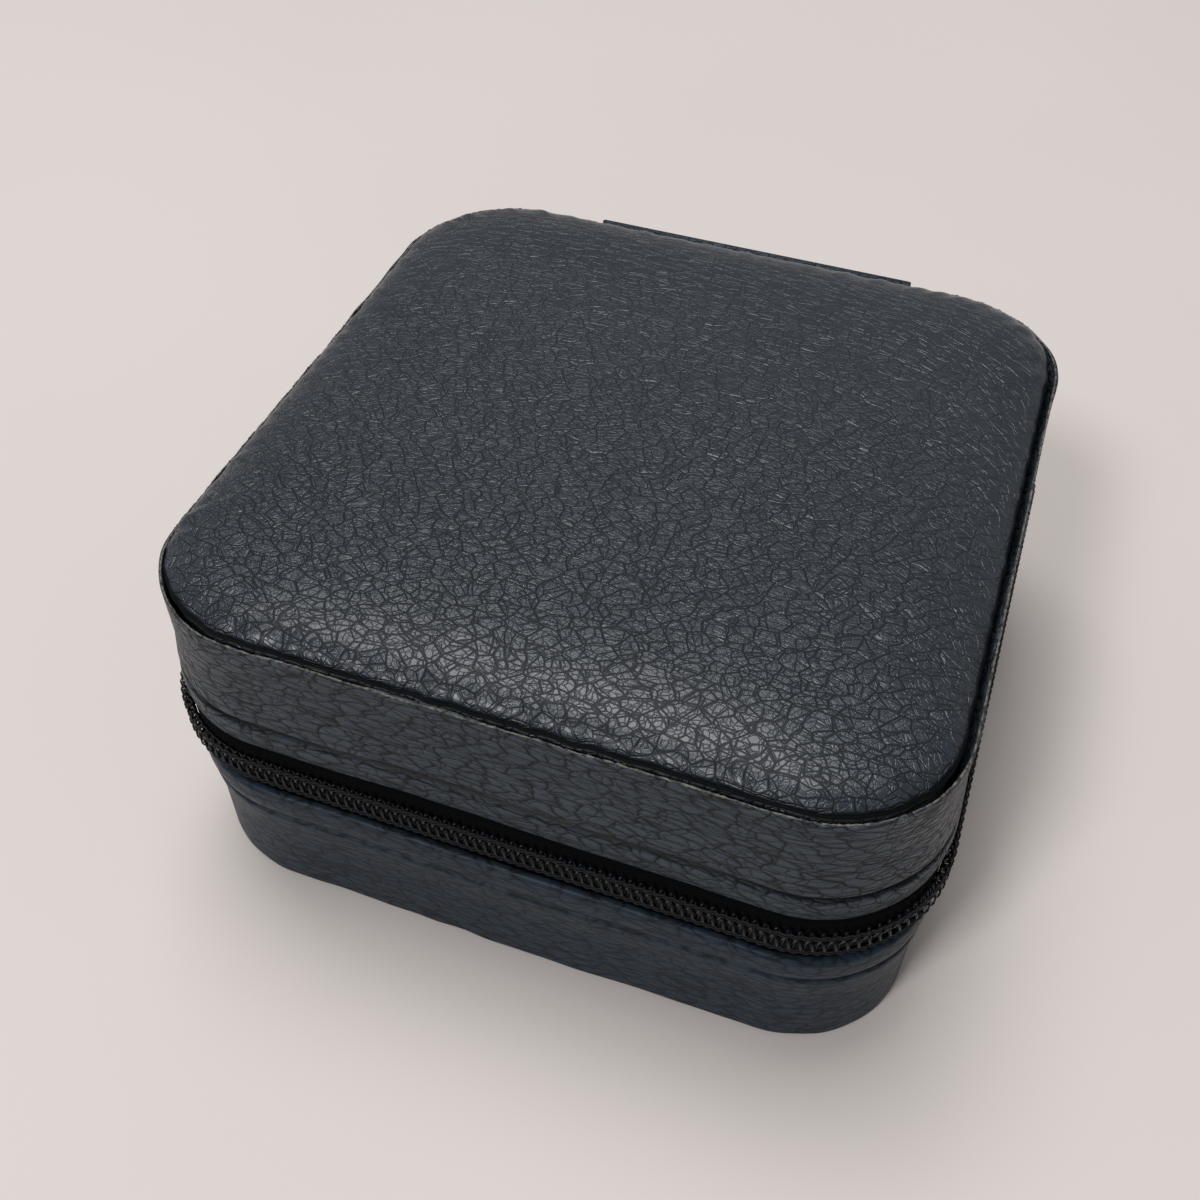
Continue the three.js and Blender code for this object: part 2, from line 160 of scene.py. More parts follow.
table_paint, tree, shader = new_material("matt_painted_table", Roughness=0.75)
spot = add_node(tree, "ShaderNodeTexCoord").outputs["Object"]
cloudy = add_node(tree, "ShaderNodeTexNoise", {"Vector": spot, "Scale": 6.0, "Detail": 3.0})
paint(tree, shader, cloudy.outputs["Fac"], "#d6cfcc", "#dfd8d5")
table_reach = 1.5
table_edge = np.array([[-1, -1], [1, -1], [1, 1], [-1, 1]]) * table_reach
table_corners = np.column_stack([table_edge, np.zeros(4)])[[0, 3, 1, 2]].reshape(2, 2, 3)
table = grid_piece("table", table_corners, table_paint, closed=(False, False))

for name, place, size, power in [
    ("ceiling_lamp", (-0.36, 0.4, 2.1), 1.2, 27.5),
    ("front_lamp", (-0.5, -1.2, 1.5), 0.4, 15.0),
]:
    lamp = bpy.data.lights.new(name, "AREA")
    lamp.size = size
    lamp.energy = power
    lamp.color = (1.0, 0.99, 0.98)
    light = bpy.data.objects.new(name, lamp)
    away = np.array(place) / np.linalg.norm(place)
    side = np.cross((0, 0, 1.0), away)
    side = side / np.linalg.norm(side)
    turn = np.eye(4)
    turn[:3] = np.stack([side, np.cross(away, side), away, place], axis=1)
    light.matrix_world = Matrix(turn.tolist())
    bpy.context.scene.collection.objects.link(light)
room = bpy.data.worlds.new("room")
room.use_nodes = True
room.node_tree.nodes["Background"].inputs["Color"].default_value = linear("#f1eeec")
room.node_tree.nodes["Background"].inputs["Strength"].default_value = 0.23
bpy.context.scene.world = room
bpy.context.scene.view_settings.view_transform = "Standard"

# ---- Side leather --------------------------------------------------------------------------------------
# Two bands of coated leather wrap the sides. Beside the zip each is turned over and sewn down, which
# leaves a soft rim and a stitched groove. The lid's other edge is cut and left raw.
lip = 0.6 * mm
corner = 16.7 * mm
leather = 1.0 * mm
rim_radius = 0.75 * mm
flare_start, flare_end = 4.0 * mm, 11.0 * mm
groove_height, groove_depth, groove_width = 4.4 * mm, 0.9 * mm, 0.42 * mm
strip_puff = 0.22 * mm
cut_thickness = 0.38 * mm
slow_wave, quick_wave = 0.12 * mm, 0.03 * mm
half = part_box("lid_side_leather")[1][0] - lip
straight = 2 * (half - corner)
arc = corner * np.pi / 2
round_trip = 4 * (straight + arc)


def outline(walked):
    """The case from above, walked from the middle of the back towards the left, as complex numbers: the
    centre that each point turns about, which runs round the inner square, and the direction that it
    faces."""
    turned = walked + straight / 2
    side = np.floor(turned / (straight + arc))
    rest = turned - side * (straight + arc)
    quarter = np.exp(0.5j * np.pi * side)
    centre = quarter * ((half - corner) * (1 + 1j) - np.minimum(rest, straight))
    facing = 1j * quarter * np.exp(1j * np.maximum(rest - straight, 0) / corner)
    return centre, facing


def on_wall(walked, out, height):
    """Points on the wall: the outline's centre plus the corner radius and out, along the way that it
    faces."""
    centre, facing = outline(walked)
    point = centre + (corner + out) * facing
    return np.stack(np.broadcast_arrays(point.real, point.imag, height), axis=-1)


def wavy(walked, seed, lowest=3, count=12):
    """Handmade unevenness of about 1 either way that closes on itself round the case: sines of whole
    numbers of waves, with random phases and sizes that fall off as the waves get shorter."""
    random = np.random.default_rng(seed)
    waves = np.arange(lowest, lowest + count)
    phase = random.uniform(0, 2 * np.pi, count)
    size = random.normal(0, 1, count) / np.sqrt(waves)
    angle = 2 * np.pi * waves * np.asarray(walked)[..., None] / round_trip + phase
    return (size * np.sin(angle)).sum(axis=-1) / np.sqrt((size**2).sum() / 2)


def smooth_step(value, low, high):
    """0 below low and 1 above high, with an S curve between."""
    share = np.clip((value - low) / (high - low), 0, 1)
    return share * share * (3 - 2 * share)


def side_section(height):
    """The band's section as (out, distance from the zip rim): down the outer face, round the turned rim,
    up the inner face and over the cut edge. The flare is an S curve, and the groove and the puffed strip
    are bells."""
    face = np.linspace(height - cut_thickness / 2, rim_radius, 76)
    out = lip * (1 - smooth_step(face, flare_start, flare_end))
    out = out - groove_depth * np.exp(-(((face - groove_height) / groove_width) ** 2))
    out = out + strip_puff * np.exp(-(((face - groove_height / 2) / (groove_height / 3)) ** 2))
    angle = np.linspace(0, np.pi, 11)[1:]
    rim_out = out[-1] - rim_radius + rim_radius * np.cos(angle)
    rim_height = rim_radius - rim_radius * np.sin(angle)
    inner_height = np.array([1.5 * mm, 3 * mm, height * 0.6, height - 4 * mm, height - 2.5 * mm])
    inner_out = np.array([-leather, -leather, -leather, -leather, -cut_thickness])
    edge_out = np.array([-cut_thickness, -0.7 * cut_thickness, -0.3 * cut_thickness])
    edge_height = height - cut_thickness / 2 * np.array([1.0, 0.15, 0.15])
    return np.concatenate([out, rim_out, inner_out, edge_out]), np.concatenate(
        [face, rim_height, inner_height, edge_height]
    )


def side_band(name, rim, far, material, seed):
    """The section carried round the case. The face waves in and out a little, and the cut edge up and
    down."""
    out, up = side_section(abs(far - rim))
    walked = np.linspace(0, round_trip, 441)
    slow, quick = wavy(walked[:-1], seed), wavy(walked[:-1], seed + 1, 20, 30)
    wave = slow[:, None] * slow_wave + quick[:, None] * quick_wave
    cut = smooth_step(up, abs(far - rim) - 1.5 * mm, abs(far - rim))
    trim = cut * wavy(walked[:-1], seed + 2, 12, 50)[:, None] * 0.08 * mm
    height = rim + np.sign(far - rim) * (up + trim)
    points = on_wall(walked[:-1, None], out + wave * np.where(up > groove_height, 1.0, 0.5), height)
    lengths = np.hypot(np.diff(out, append=out[0]), np.diff(up, append=up[0]))
    around = np.concatenate([[0], np.cumsum(lengths)])
    return grid_piece(name, points, material, walked, around)


def grain(tree, place, cell, depth, crease, fade, groove):
    """Pebble grain on a place given in millimetres, as a height from 0 in the creases to about 1 on the
    pebbles, and the bumped normal. Two nets of cell walls, warped, laid askew and multiplied, make the
    main creases and the branches that cut them into triangles. A fine net and a noise make the small
    wrinkles on each pebble. Each pebble rises from its crease as a square root, and is flat once it is a
    share of a cell away, which crease gives. fade flattens the grain towards the back. Along a groove at
    the height given, the grain falls away to its lowest level, which the leather paints in its darkest
    tone as painted shade."""
    drift = add_node(tree, "ShaderNodeTexNoise", {"Vector": place, "Scale": 0.5 / cell, "Detail": 1.5})
    centred = {0: drift.outputs["Color"], 1: (0.5, 0.5, 0.5)}
    swing = add_node(tree, "ShaderNodeVectorMath", centred, operation="SUBTRACT")
    stretched = {0: swing.outputs[0], "Scale": 0.9 * cell}
    push = add_node(tree, "ShaderNodeVectorMath", stretched, operation="SCALE")
    bent = add_node(tree, "ShaderNodeVectorMath", {0: place, 1: push.outputs[0]}, operation="ADD").outputs[0]
    height = 1.0
    for size, angle, squeeze, width, share in [
        (cell, 0.5, 1.5, crease, 1.0),
        (0.85 * cell, -0.6, 1.7, 0.9 * crease, 0.7),
        (0.3 * cell, 0.2, 1.2, 1.9 * crease, 0.2),
    ]:
        askew = (0.3 * angle, 0.3 * angle, angle)
        per_cell = (1 / size, squeeze / size, 1 / size)
        laid = add_node(tree, "ShaderNodeMapping", {"Vector": bent, "Rotation": askew, "Scale": per_cell})
        net = add_node(
            tree,
            "ShaderNodeTexVoronoi",
            {"Vector": laid.outputs[0], "Scale": 1.0},
            feature="DISTANCE_TO_EDGE",
            voronoi_dimensions="3D",
        )
        wall = add_node(tree, "ShaderNodeMapRange", {"Value": net.outputs["Distance"], "From Max": width})
        swell = add_node(tree, "ShaderNodeMath", {0: wall.outputs[0], 1: 0.5}, operation="POWER")
        weighed = {0: swell.outputs[0], 1: share, 2: 1 - share}
        part = add_node(tree, "ShaderNodeMath", weighed, operation="MULTIPLY_ADD").outputs[0]
        height = add_node(tree, "ShaderNodeMath", {0: height, 1: part}, operation="MULTIPLY").outputs[0]
    wrinkles = {"Vector": bent, "Scale": 9 / cell, "Detail": 4.0, "Roughness": 0.7}
    fine = add_node(tree, "ShaderNodeTexNoise", wrinkles)
    rough = add_node(tree, "ShaderNodeMath", {0: fine.outputs["Fac"], 1: 0.16}, operation="MULTIPLY")
    height = add_node(tree, "ShaderNodeMath", {0: height, 1: rough.outputs[0]}, operation="ADD").outputs[0]
    if groove is not None:
        raw = add_node(tree, "ShaderNodeTexCoord").outputs["Object"]
        level = add_node(tree, "ShaderNodeSeparateXYZ", {"Vector": raw}).outputs["Z"]
        gap = add_node(tree, "ShaderNodeMath", {0: level, 1: groove}, operation="SUBTRACT").outputs[0]
        away = add_node(tree, "ShaderNodeMath", {0: gap}, operation="ABSOLUTE").outputs[0]
        # Near the groove the height falls to 0, so the leather takes its darkest tone there: painted shade.
        clear = {"Value": away, "From Min": 0.2 * mm, "From Max": 0.6 * mm}
        groove_shade = add_node(tree, "ShaderNodeMapRange", clear).outputs[0]
        height = add_node(tree, "ShaderNodeMath", {0: height, 1: groove_shade}, operation="MULTIPLY").outputs[0]
    along = add_node(tree, "ShaderNodeSeparateXYZ", {"Vector": place}).outputs["Y"]
    edges = {"From Min": -half / mm, "From Max": half / mm, "To Min": 1.0, "To Max": 1.0 - fade}
    kept = add_node(tree, "ShaderNodeMapRange", {"Value": along, **edges}).outputs[0]
    depth_here = add_node(tree, "ShaderNodeMath", {0: height, 1: 1.0}, operation="SUBTRACT").outputs[0]
    eased = {0: depth_here, 1: kept, 2: 1.0}
    height = add_node(tree, "ShaderNodeMath", eased, operation="MULTIPLY_ADD").outputs[0]
    relief = add_node(tree, "ShaderNodeBump", {"Height": height, "Distance": depth * mm})
    return height, relief.outputs["Normal"]


# The navy leather: its own colour on the pebbles, and a darker tone in the creases that is painted shade.
navy_and_crease_shade = ("#0b0e13", "#252d39")


def pebble_leather(
    name, scale, cell, depth, crease, colours=navy_and_crease_shade, gloss=(0.4, 0.36), shine=0.5, fade=0.0, groove=None
):
    """Split cow leather with a dyed, embossed polyurethane coat: satin on the pebbles, duller in the
    creases, with slow cloudy changes of tone. The creases are painted darker as well, which is
    painted shade. scale packs the grain closer along each axis, 1 being true size. cell and depth are
    the pebbles' size and relief in millimetres. colours and gloss are the tone and the roughness in the
    creases and on the pebbles, the creases' tone being painted shade, shine the specular level, and
    fade how much flatter the grain is at the back than at the front, which also thins the painted
    crease shade there. groove is the height of a stitched or turned line that has no grain, painted
    there in the creases' dark tone as painted shade."""
    varnish = {"Coat_Weight": 0.24 * shine, "Coat_Roughness": 0.3}
    material, tree, shader = new_material(name, IOR=1.5, Specular_IOR_Level=shine, **varnish)
    raw = add_node(tree, "ShaderNodeTexCoord").outputs["Object"]
    per_mm = tuple(share / mm for share in scale)
    place = add_node(tree, "ShaderNodeMapping", {"Vector": raw, "Scale": per_mm}).outputs[0]
    height, normal = grain(tree, place, cell, depth, crease, fade, groove)
    # The tone runs from the creases' dark colour, which is painted shade, to the pebbles' own colour.
    tone = add_node(tree, "ShaderNodeValToRGB", {"Fac": height})
    tone.color_ramp.elements[0].position = 0.2
    tone.color_ramp.elements[0].color = linear(colours[0])
    tone.color_ramp.elements[1].position = 0.8
    tone.color_ramp.elements[1].color = linear(colours[1])
    clouds = add_node(tree, "ShaderNodeTexNoise", {"Vector": place, "Scale": 0.06, "Detail": 3.0})
    cloudy = {"Value": clouds.outputs["Fac"], "To Min": 0.85, "To Max": 1.2}
    faded = add_node(tree, "ShaderNodeMapRange", cloudy)
    both = {"Factor": 1.0, 6: tone.outputs["Color"], 7: faded.outputs[0]}
    mixed = add_node(tree, "ShaderNodeMix", both, data_type="RGBA", blend_type="MULTIPLY")
    tree.links.new(mixed.outputs[2], shader.inputs["Base Color"])
    levels = {"Value": height, "From Min": 0.2, "From Max": 0.8, "To Min": gloss[0], "To Max": gloss[1]}
    dull = add_node(tree, "ShaderNodeMapRange", levels)
    tree.links.new(dull.outputs[0], shader.inputs["Roughness"])
    tree.links.new(normal, shader.inputs["Normal"])
    return material


# The skin is pulled along the sides, so its pebbles are drawn out there into long, low ripples.
pulled = (0.45, 0.45, 1.3)
lid_low, lid_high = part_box("lid_side_leather")
base_low, base_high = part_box("base_side_leather")
# In both bands the first colour, in the creases and along the stitched groove, is painted shade.
lid_skin = pebble_leather(
    "pulled_pebble_leather",
    pulled,
    cell=1.6,
    depth=0.45,
    crease=0.16,
    colours=("#050709", "#38434d"),
    gloss=(0.6, 0.36),
    shine=0.24,
    groove=lid_low[2] + groove_height,
)
base_skin = pebble_leather(
    "worn_pebble_leather",
    pulled,
    cell=1.7,
    depth=0.08,
    crease=0.2,
    colours=("#161d25", "#2a3642"),
    gloss=(0.5, 0.42),
    shine=0.15,
    groove=base_high[2] - groove_height,
)
for name, rim, far, body, skin, seed in [
    ("lid_side_leather", lid_low[2], lid_high[2], "lid", lid_skin, 3),
    ("base_side_leather", base_high[2], base_low[2], "base", base_skin, 7),
]:
    band = side_band(f"{name}_band", rim, far, skin, seed)
    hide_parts(name)
    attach(band, body)

# ---- Raw edge ------------------------------------------------------------------------------------------
# Where the lid's band is cut through, the split leather's pale fibres show as a thin, fuzzy line.
fibre_reach = 0.14 * mm


def raw_edge(name, height, material):
    """A thin rope of fibres along the cut: an oval ring carried round the case, whose size and place
    jitter from step to step about the edge's own slow waves."""
    walked = np.linspace(0, round_trip, 1201)[:-1]
    random = np.random.default_rng(11)
    angle = np.linspace(0, 2 * np.pi, 6, endpoint=False)
    size = fibre_reach * random.uniform(0.6, 1.35, (1200, 1))
    drift = wavy(walked, 5, 12, 50)[:, None] * 0.07 * mm + random.normal(0, 0.05 * mm, (1200, 1))
    out = -0.2 * mm + size * np.cos(angle)
    up = height - 0.06 * mm + drift + 0.9 * size * np.sin(angle)
    return grid_piece(name, on_wall(walked[:, None], out, up), material)


def emboss(tree, shader, height, depth):
    """A bump that is depth deep where the height goes from 1 to 0."""
    relief = add_node(tree, "ShaderNodeBump", {"Height": height, "Distance": depth})
    tree.links.new(relief.outputs["Normal"], shader.inputs["Normal"])


# Split leather, undyed inside: a matt grey-beige felt of short fibres, darkened here and there by the
# dye.
split_fibre, tree, shader = new_material("split_leather_fibre", Roughness=0.95)
spot = add_node(tree, "ShaderNodeTexCoord").outputs["Object"]
tuft = add_node(tree, "ShaderNodeTexNoise", {"Vector": spot, "Scale": 1400.0, "Detail": 3.0})
paint(tree, shader, tuft.outputs["Fac"], "#2a2c2b", "#74736b", (0.36, 0.62))
emboss(tree, shader, tuft.outputs["Fac"], 0.1 * mm)
cut_edge = raw_edge("lid_side_leather_cut_edge", lid_high[2], split_fibre)
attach(cut_edge, "lid")

# ---- Padded top ----------------------------------------------------------------------------------------
# One panel of the same leather over foam, let in behind the side band's cut edge. The foam pushes it up
# into a flat cushion that rolls over all round and dives into the seam.
seam_narrow, seam_wide = 0.12 * mm, 1.25 * mm
seam_undercut = 0.8 * mm
seam_ring = 0.96
dive = 1.4 * mm
top_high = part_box("lid_top_leather")[1]
crown_seam = lid_high[2] - dive


def square_rings(count):
    """A square sheet of points that runs out in rings: for each point, which ring it is on, from 0 to 1,
    and how far it has walked round the outline, going by where it lies on the square."""
    line = np.linspace(-1, 1, count)
    u, v = np.meshgrid(line, line, indexing="ij")
    ring = np.maximum(abs(u), abs(v))
    safe = np.maximum(ring, 1e-9)
    u, v = u / safe, v / safe
    span = straight + arc
    back_side = (v >= 1 - 1e-9) * 1.0
    left_side = (u <= -1 + 1e-9) & (back_side == 0)
    front_side = (v <= -1 + 1e-9) & ~left_side
    right_or_front = np.where(front_side, 2 + u / 2, 3 + v / 2)
    walked = np.where(back_side > 0, -u / 2, np.where(left_side, 1 - v / 2, right_or_front))
    return ring, np.mod(walked, 4) * span


def crown_points(count):
    """The padded panel: rings of the outline, scaled about the middle, with the last few tucked under the
    seam. Its height is a superellipse of each ring's share of the width, flat in the middle and steep at
    the seam, with slow hand-filled unevenness. Short puckers run in from the seam, where the skin is
    gathered under. The seam opens towards the front and the right, as the panel was set in a little
    askew."""
    ring, walked = square_rings(count)
    inside = np.minimum(ring / seam_ring, 1)
    share = np.sin(inside * np.pi / 2)
    below = np.maximum(ring - seam_ring, 0) / (1 - seam_ring)
    centre, facing = outline(walked)
    pucker = wavy(walked, 21, 50, 90) * smooth_step(share, 0.9, 0.985)
    open_side = smooth_step(-facing.imag + 0.6 * facing.real, -0.3, 0.7)
    roll = corner - seam_narrow - (seam_wide - seam_narrow) * open_side + 0.05 * mm * pucker
    point = (centre + (roll - below * seam_undercut) * facing) * share
    rise = top_high[2] - crown_seam
    height = crown_seam + rise * np.maximum(1 - share**6, 0) ** 0.34 - below * dive
    x, y = point.real / mm, point.imag / mm
    lumps = np.sin(x / 11 + 1.3) * np.sin(y / 9 + 0.4) + 0.6 * np.sin(x / 6.1 - y / 7.3)
    height = height + 0.08 * mm * (lumps - 1.6) * (1 - share**8)
    height = height + 0.07 * mm * pucker * (1 - share**30)
    return np.stack([point.real, point.imag, height], axis=-1)


def add_wall(piece, thickness):
    """A wall under the surface that was modelled, as thick as the real sheet."""
    wall = piece.modifiers.new("wall", "SOLIDIFY")
    wall.thickness = thickness
    wall.offset = -1


# The creases' near-black colour is painted shade.
top_skin = pebble_leather(
    "top_pebble_leather",
    (1, 1, 1),
    cell=2.7,
    depth=0.25,
    crease=0.06,
    colours=("#010203", "#242d37"),
    gloss=(0.6, 0.28),
    shine=0.6,
    fade=0.7,
    # groove paints a dark band on the crown's edge along the seam: a painted shadow line.
    groove=lid_high[2] - 0.4 * mm,
)
top = grid_piece("lid_top_leather_crown", crown_points(201), top_skin, closed=(False, False))
add_wall(top, 0.9 * mm)
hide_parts("lid_top_leather")
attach(top, "lid")

# ---- Zip tapes -----------------------------------------------------------------------------------------
# Woven polyester tape, glued between leather and board, bows out from behind each rim and carries its
# half of the chain along its edge. Its two ends tuck in behind the hinge strap.
tape = 0.6 * mm
zip_line = (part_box("base_zip_coil")[1][2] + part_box("lid_zip_coil")[0][2]) / 2
tape_edge = 0.35 * mm
tape_face = 0.4 * mm
tape_tuck = 1.1 * mm
bow_start = 2.4 * mm
bow_end = {-1: zip_line - base_high[2] + 0.1 * mm, 1: lid_low[2] - zip_line + 0.1 * mm}
tape_depth = 12.3 * mm
strap_low, strap_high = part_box("hinge_strap")
tuck_in = 9 * mm
tape_run = np.array([-strap_low[0] - tuck_in, round_trip - strap_high[0] + tuck_in])


def tape_bow(height, side):
    """How far out the tape's face stands at a distance from the zip line: a cosine from its bowed edge
    back to where it is glued."""
    share = np.clip((height - bow_start) / (bow_end[side] - bow_start), 0, 1)
    return tape_face - (tape_face + tape_tuck) * (1 - np.cos(np.pi * share)) / 2


def zip_tape(name, side, material):
    """The tape's section, face and back, carried round the case between its two tucked ends."""
    height = np.concatenate([np.linspace(tape_edge, bow_end[side], 22), [7 * mm, tape_depth]])
    face = tape_bow(height, side)
    out = np.concatenate([face, face[::-1] - tape])
    up = np.concatenate([height, height[::-1]])
    walked = np.linspace(*tape_run, 421)
    points = on_wall(walked[:, None], out, zip_line + side * up)
    lengths = np.hypot(np.diff(out, append=out[0]), np.diff(up, append=up[0]))
    around = np.concatenate([[0], np.cumsum(lengths)])
    return grid_piece(name, points, material, walked, around, closed=(False, True))


# Twill-woven tape: fine ribs of yarn 0.4 mm apart, crossed by slanting floats, matt and almost black.
matt = {"Roughness": 0.9, "Sheen_Weight": 0.02, "Specular_IOR_Level": 0.1}
tape_cloth, tree, shader = new_material("woven_polyester_tape", **matt)
shader.inputs["Sheen Tint"].default_value = linear("#5a6470")
thread = add_node(tree, "ShaderNodeTexCoord").outputs["UV"]
yarns = {"Vector": thread, "Scale": 0.79, "Distortion": 0.6}
ribs = add_node(tree, "ShaderNodeTexWave", yarns, bands_direction="X")
slant = add_node(tree, "ShaderNodeMapping", {"Vector": thread, "Rotation": (0, 0, 0.8)})
floats = add_node(tree, "ShaderNodeTexWave", {"Vector": slant.outputs[0], "Scale": 0.6, "Distortion": 1.0})
crossed = {0: ribs.outputs["Fac"], 1: floats.outputs["Fac"]}
woven = add_node(tree, "ShaderNodeMath", crossed, operation="MULTIPLY")
paint(tree, shader, woven.outputs[0], "#030404", "#0a0c0f")
emboss(tree, shader, woven.outputs[0], 0.08 * mm)
for name, side, body in [("base_zip_tape", -1, "base"), ("lid_zip_tape", 1, "lid")]:
    woven_tape = zip_tape(f"{name}_woven", side, tape_cloth)
    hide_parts(name)
    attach(woven_tape, body)

# ---- Zip chain -----------------------------------------------------------------------------------------
# Each half is one long nylon monofilament wound into a flat coil and sewn to the tape's edge by rows of
# thread. The loops' heads reach past the middle of the chain, each between two heads of the other half.
pitch = 1.25 * mm
wire = 0.22 * mm
coil_face, coil_depth = 0.45 * mm, 1.25 * mm
coil_reach = 2.15 * mm
head_past = 0.3 * mm
chain_start = straight / 2 + arc + (half - corner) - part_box("base_top_stop")[0][1] + 0.1 * mm
chain_end = round_trip - strap_high[0]


def tube(path, radius, sides, sideways, flat=1.0):
    """Rings of points round a path, which is shaped (..., steps, 3): across it, towards sideways and
    towards the third direction, which flat makes thinner."""
    forward = np.gradient(path, axis=-2)
    forward = forward / np.linalg.norm(forward, axis=-1, keepdims=True)
    third = np.cross(forward, sideways)
    third = third / np.linalg.norm(third, axis=-1, keepdims=True)
    first = np.cross(third, forward)
    angle = np.linspace(0, 2 * np.pi, sides, endpoint=False)[:, None]
    ring = np.cos(angle) * first[..., None, :] + flat * np.sin(angle) * third[..., None, :]
    return path[..., None, :] + radius * ring


def chain_half(name, side, material):
    """A flat helix along the outline: round an oval as deep as the coil and as high as half the chain,
    once a pitch, the base's half a turn behind the lid's."""
    turns = int((chain_end - chain_start) / pitch)
    walked = chain_start + np.arange(turns * 16) / 16 * pitch
    angle = 2 * np.pi * (walked - chain_start) / pitch + (np.pi if side < 0 else 0)
    middle = (coil_reach - head_past) / 2
    swing = (coil_reach + head_past) / 2 - wire
    out = coil_face + coil_depth / 2 + (coil_depth / 2 - wire) * np.cos(angle)
    height = zip_line + side * (middle + swing * np.sin(angle))
    path = on_wall(walked, out, height)
    ahead = np.gradient(on_wall(walked, 0, zip_line), axis=0)
    return grid_piece(name, tube(path, wire, 6, ahead), material, closed=(False, True))


def sewing_rows(name, side, material):
    """Rows of thread that hold the coil down: each runs over the loops and dips between them, a cosine
    wave of the coil's pitch."""
    rows = np.array([1.3, 1.8]) * mm
    walked = chain_start + np.arange(int((chain_end - chain_start) / pitch) * 6) / 6 * pitch
    wave = np.cos(2 * np.pi * (walked - chain_start) / pitch)
    out = coil_face + coil_depth - 0.06 * mm + 0.1 * mm * wave
    path = np.stack([on_wall(walked, out, zip_line + side * row) for row in rows])
    return grid_piece(name, tube(path, 0.1 * mm, 5, (0, 0, 1.0)), material, closed=(False, True))


# Extruded nylon filament, dyed navy black: smooth and glossy, with faint drawing lines along it.
nylon, tree, shader = new_material("nylon_monofilament", IOR=1.53, Specular_IOR_Level=0.22)
spot = add_node(tree, "ShaderNodeTexCoord").outputs["Object"]
speck = add_node(tree, "ShaderNodeTexNoise", {"Vector": spot, "Scale": 900.0, "Detail": 2.0})
paint(tree, shader, speck.outputs["Fac"], "#07090c", "#12181f")
gloss = add_node(tree, "ShaderNodeMapRange", {"Value": speck.outputs["Fac"], "To Min": 0.1, "To Max": 0.25})
tree.links.new(gloss.outputs[0], shader.inputs["Roughness"])

# Spun polyester sewing thread: two plies twisted together, matt.
sewing_thread, tree, shader = new_material("spun_polyester_thread", Roughness=0.8, Sheen_Weight=0.03)
spot = add_node(tree, "ShaderNodeTexCoord").outputs["Object"]
twisted = {"Vector": spot, "Scale": 800.0, "Distortion": 1.5}
plies = add_node(tree, "ShaderNodeTexWave", twisted, bands_direction="DIAGONAL")
paint(tree, shader, plies.outputs["Fac"], "#06080a", "#13181e")
emboss(tree, shader, plies.outputs["Fac"], 0.05 * mm)
for name, side, body in [("base_zip_coil", -1, "base"), ("lid_zip_coil", 1, "lid")]:
    coil = chain_half(f"{name}_filament", side, nylon)
    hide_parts(name)
    threads = sewing_rows(f"{name}_sewing", side, sewing_thread)
    for piece, slot in [(coil, "nylon_coil"), (threads, "zip_tape")]:
        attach(piece, body)

# ---- Rim stitching -------------------------------------------------------------------------------------
# A lockstitch in matching thread runs along each groove. Every stitch lies in the groove and dives into
# its holes at both ends.
stitch_pitch = 5.0 * mm
stitch_length = 4.3 * mm
stitch_radius = 0.3 * mm


def stitches(name, height, material):
    """Short thick threads, one for each pitch round the case. Each sinks at its ends by a power of the
    distance from its middle."""
    count = round(round_trip / stitch_pitch)
    along = np.linspace(-1, 1, 9)
    walked = (np.arange(count)[:, None] + 0.5) * round_trip / count + along * stitch_length / 2
    out = lip - groove_depth + 0.12 * mm - 0.5 * mm * along**6
    path = on_wall(walked, out, height)
    return grid_piece(name, tube(path, stitch_radius, 6, (0, 0, 1.0), 0.8), material, closed=(False, True))


for name, height, body in [
    ("lid_stitching", lid_low[2] + groove_height, "lid"),
    ("base_stitching", base_high[2] - groove_height, "base"),
]:
    seam_thread = stitches(name, height, sewing_thread)
    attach(seam_thread, body)

# ---- Hinge strap ---------------------------------------------------------------------------------------
# A strap of the same leather is glued across the back of both halves. It lies on the side bands, climbs
# over their rims and bridges the zip. The real strap bends there when the lid opens; this one keeps one
# shape and is attached to neither half.
strap_leather = 0.8 * mm
strap_off = 0.08 * mm
strap_round = 0.35 * mm


def strap_points():
    """The strap's section across its width, a flat bar with round edges, carried up the back. Its face
    follows the bands: raised by the rims' flare, and by a little more where it bridges the zip."""
    width = strap_high[0] - strap_low[0]
    flat_half = width / 2 - strap_round
    angle = np.linspace(-np.pi / 2, np.pi / 2, 7)
    right_side = flat_half + strap_round * np.cos(angle)
    flat_run = np.linspace(-flat_half, flat_half, 41)
    across = np.concatenate([flat_run, right_side, flat_run[::-1]])
    across = np.concatenate([across, -right_side])
    thick = np.concatenate([np.full(41, -1.0), np.sin(angle), np.full(41, 1.0), -np.sin(angle)])
    up = np.linspace(strap_low[2], strap_high[2], 121)
    below, above = base_high[2] - up, up - lid_low[2]
    from_rim = np.maximum(np.maximum(below, above), 0)
    flare = lip * (1 - smooth_step(from_rim, flare_start, flare_end))
    bridge = 0.3 * mm * np.exp(-(((up - zip_line) / (4 * mm)) ** 2))
    face = half + strap_off + flare + bridge + strap_leather / 2
    y = face[:, None] + thick * strap_leather / 2
    x = (strap_low[0] + strap_high[0]) / 2 + across
    return np.stack(np.broadcast_arrays(x, y, up[:, None]), axis=-1), up, across


strap_grid, strap_up, strap_across = strap_points()
strap_around = np.concatenate([[0], np.cumsum(np.abs(np.diff(strap_across, append=strap_across[0])))])
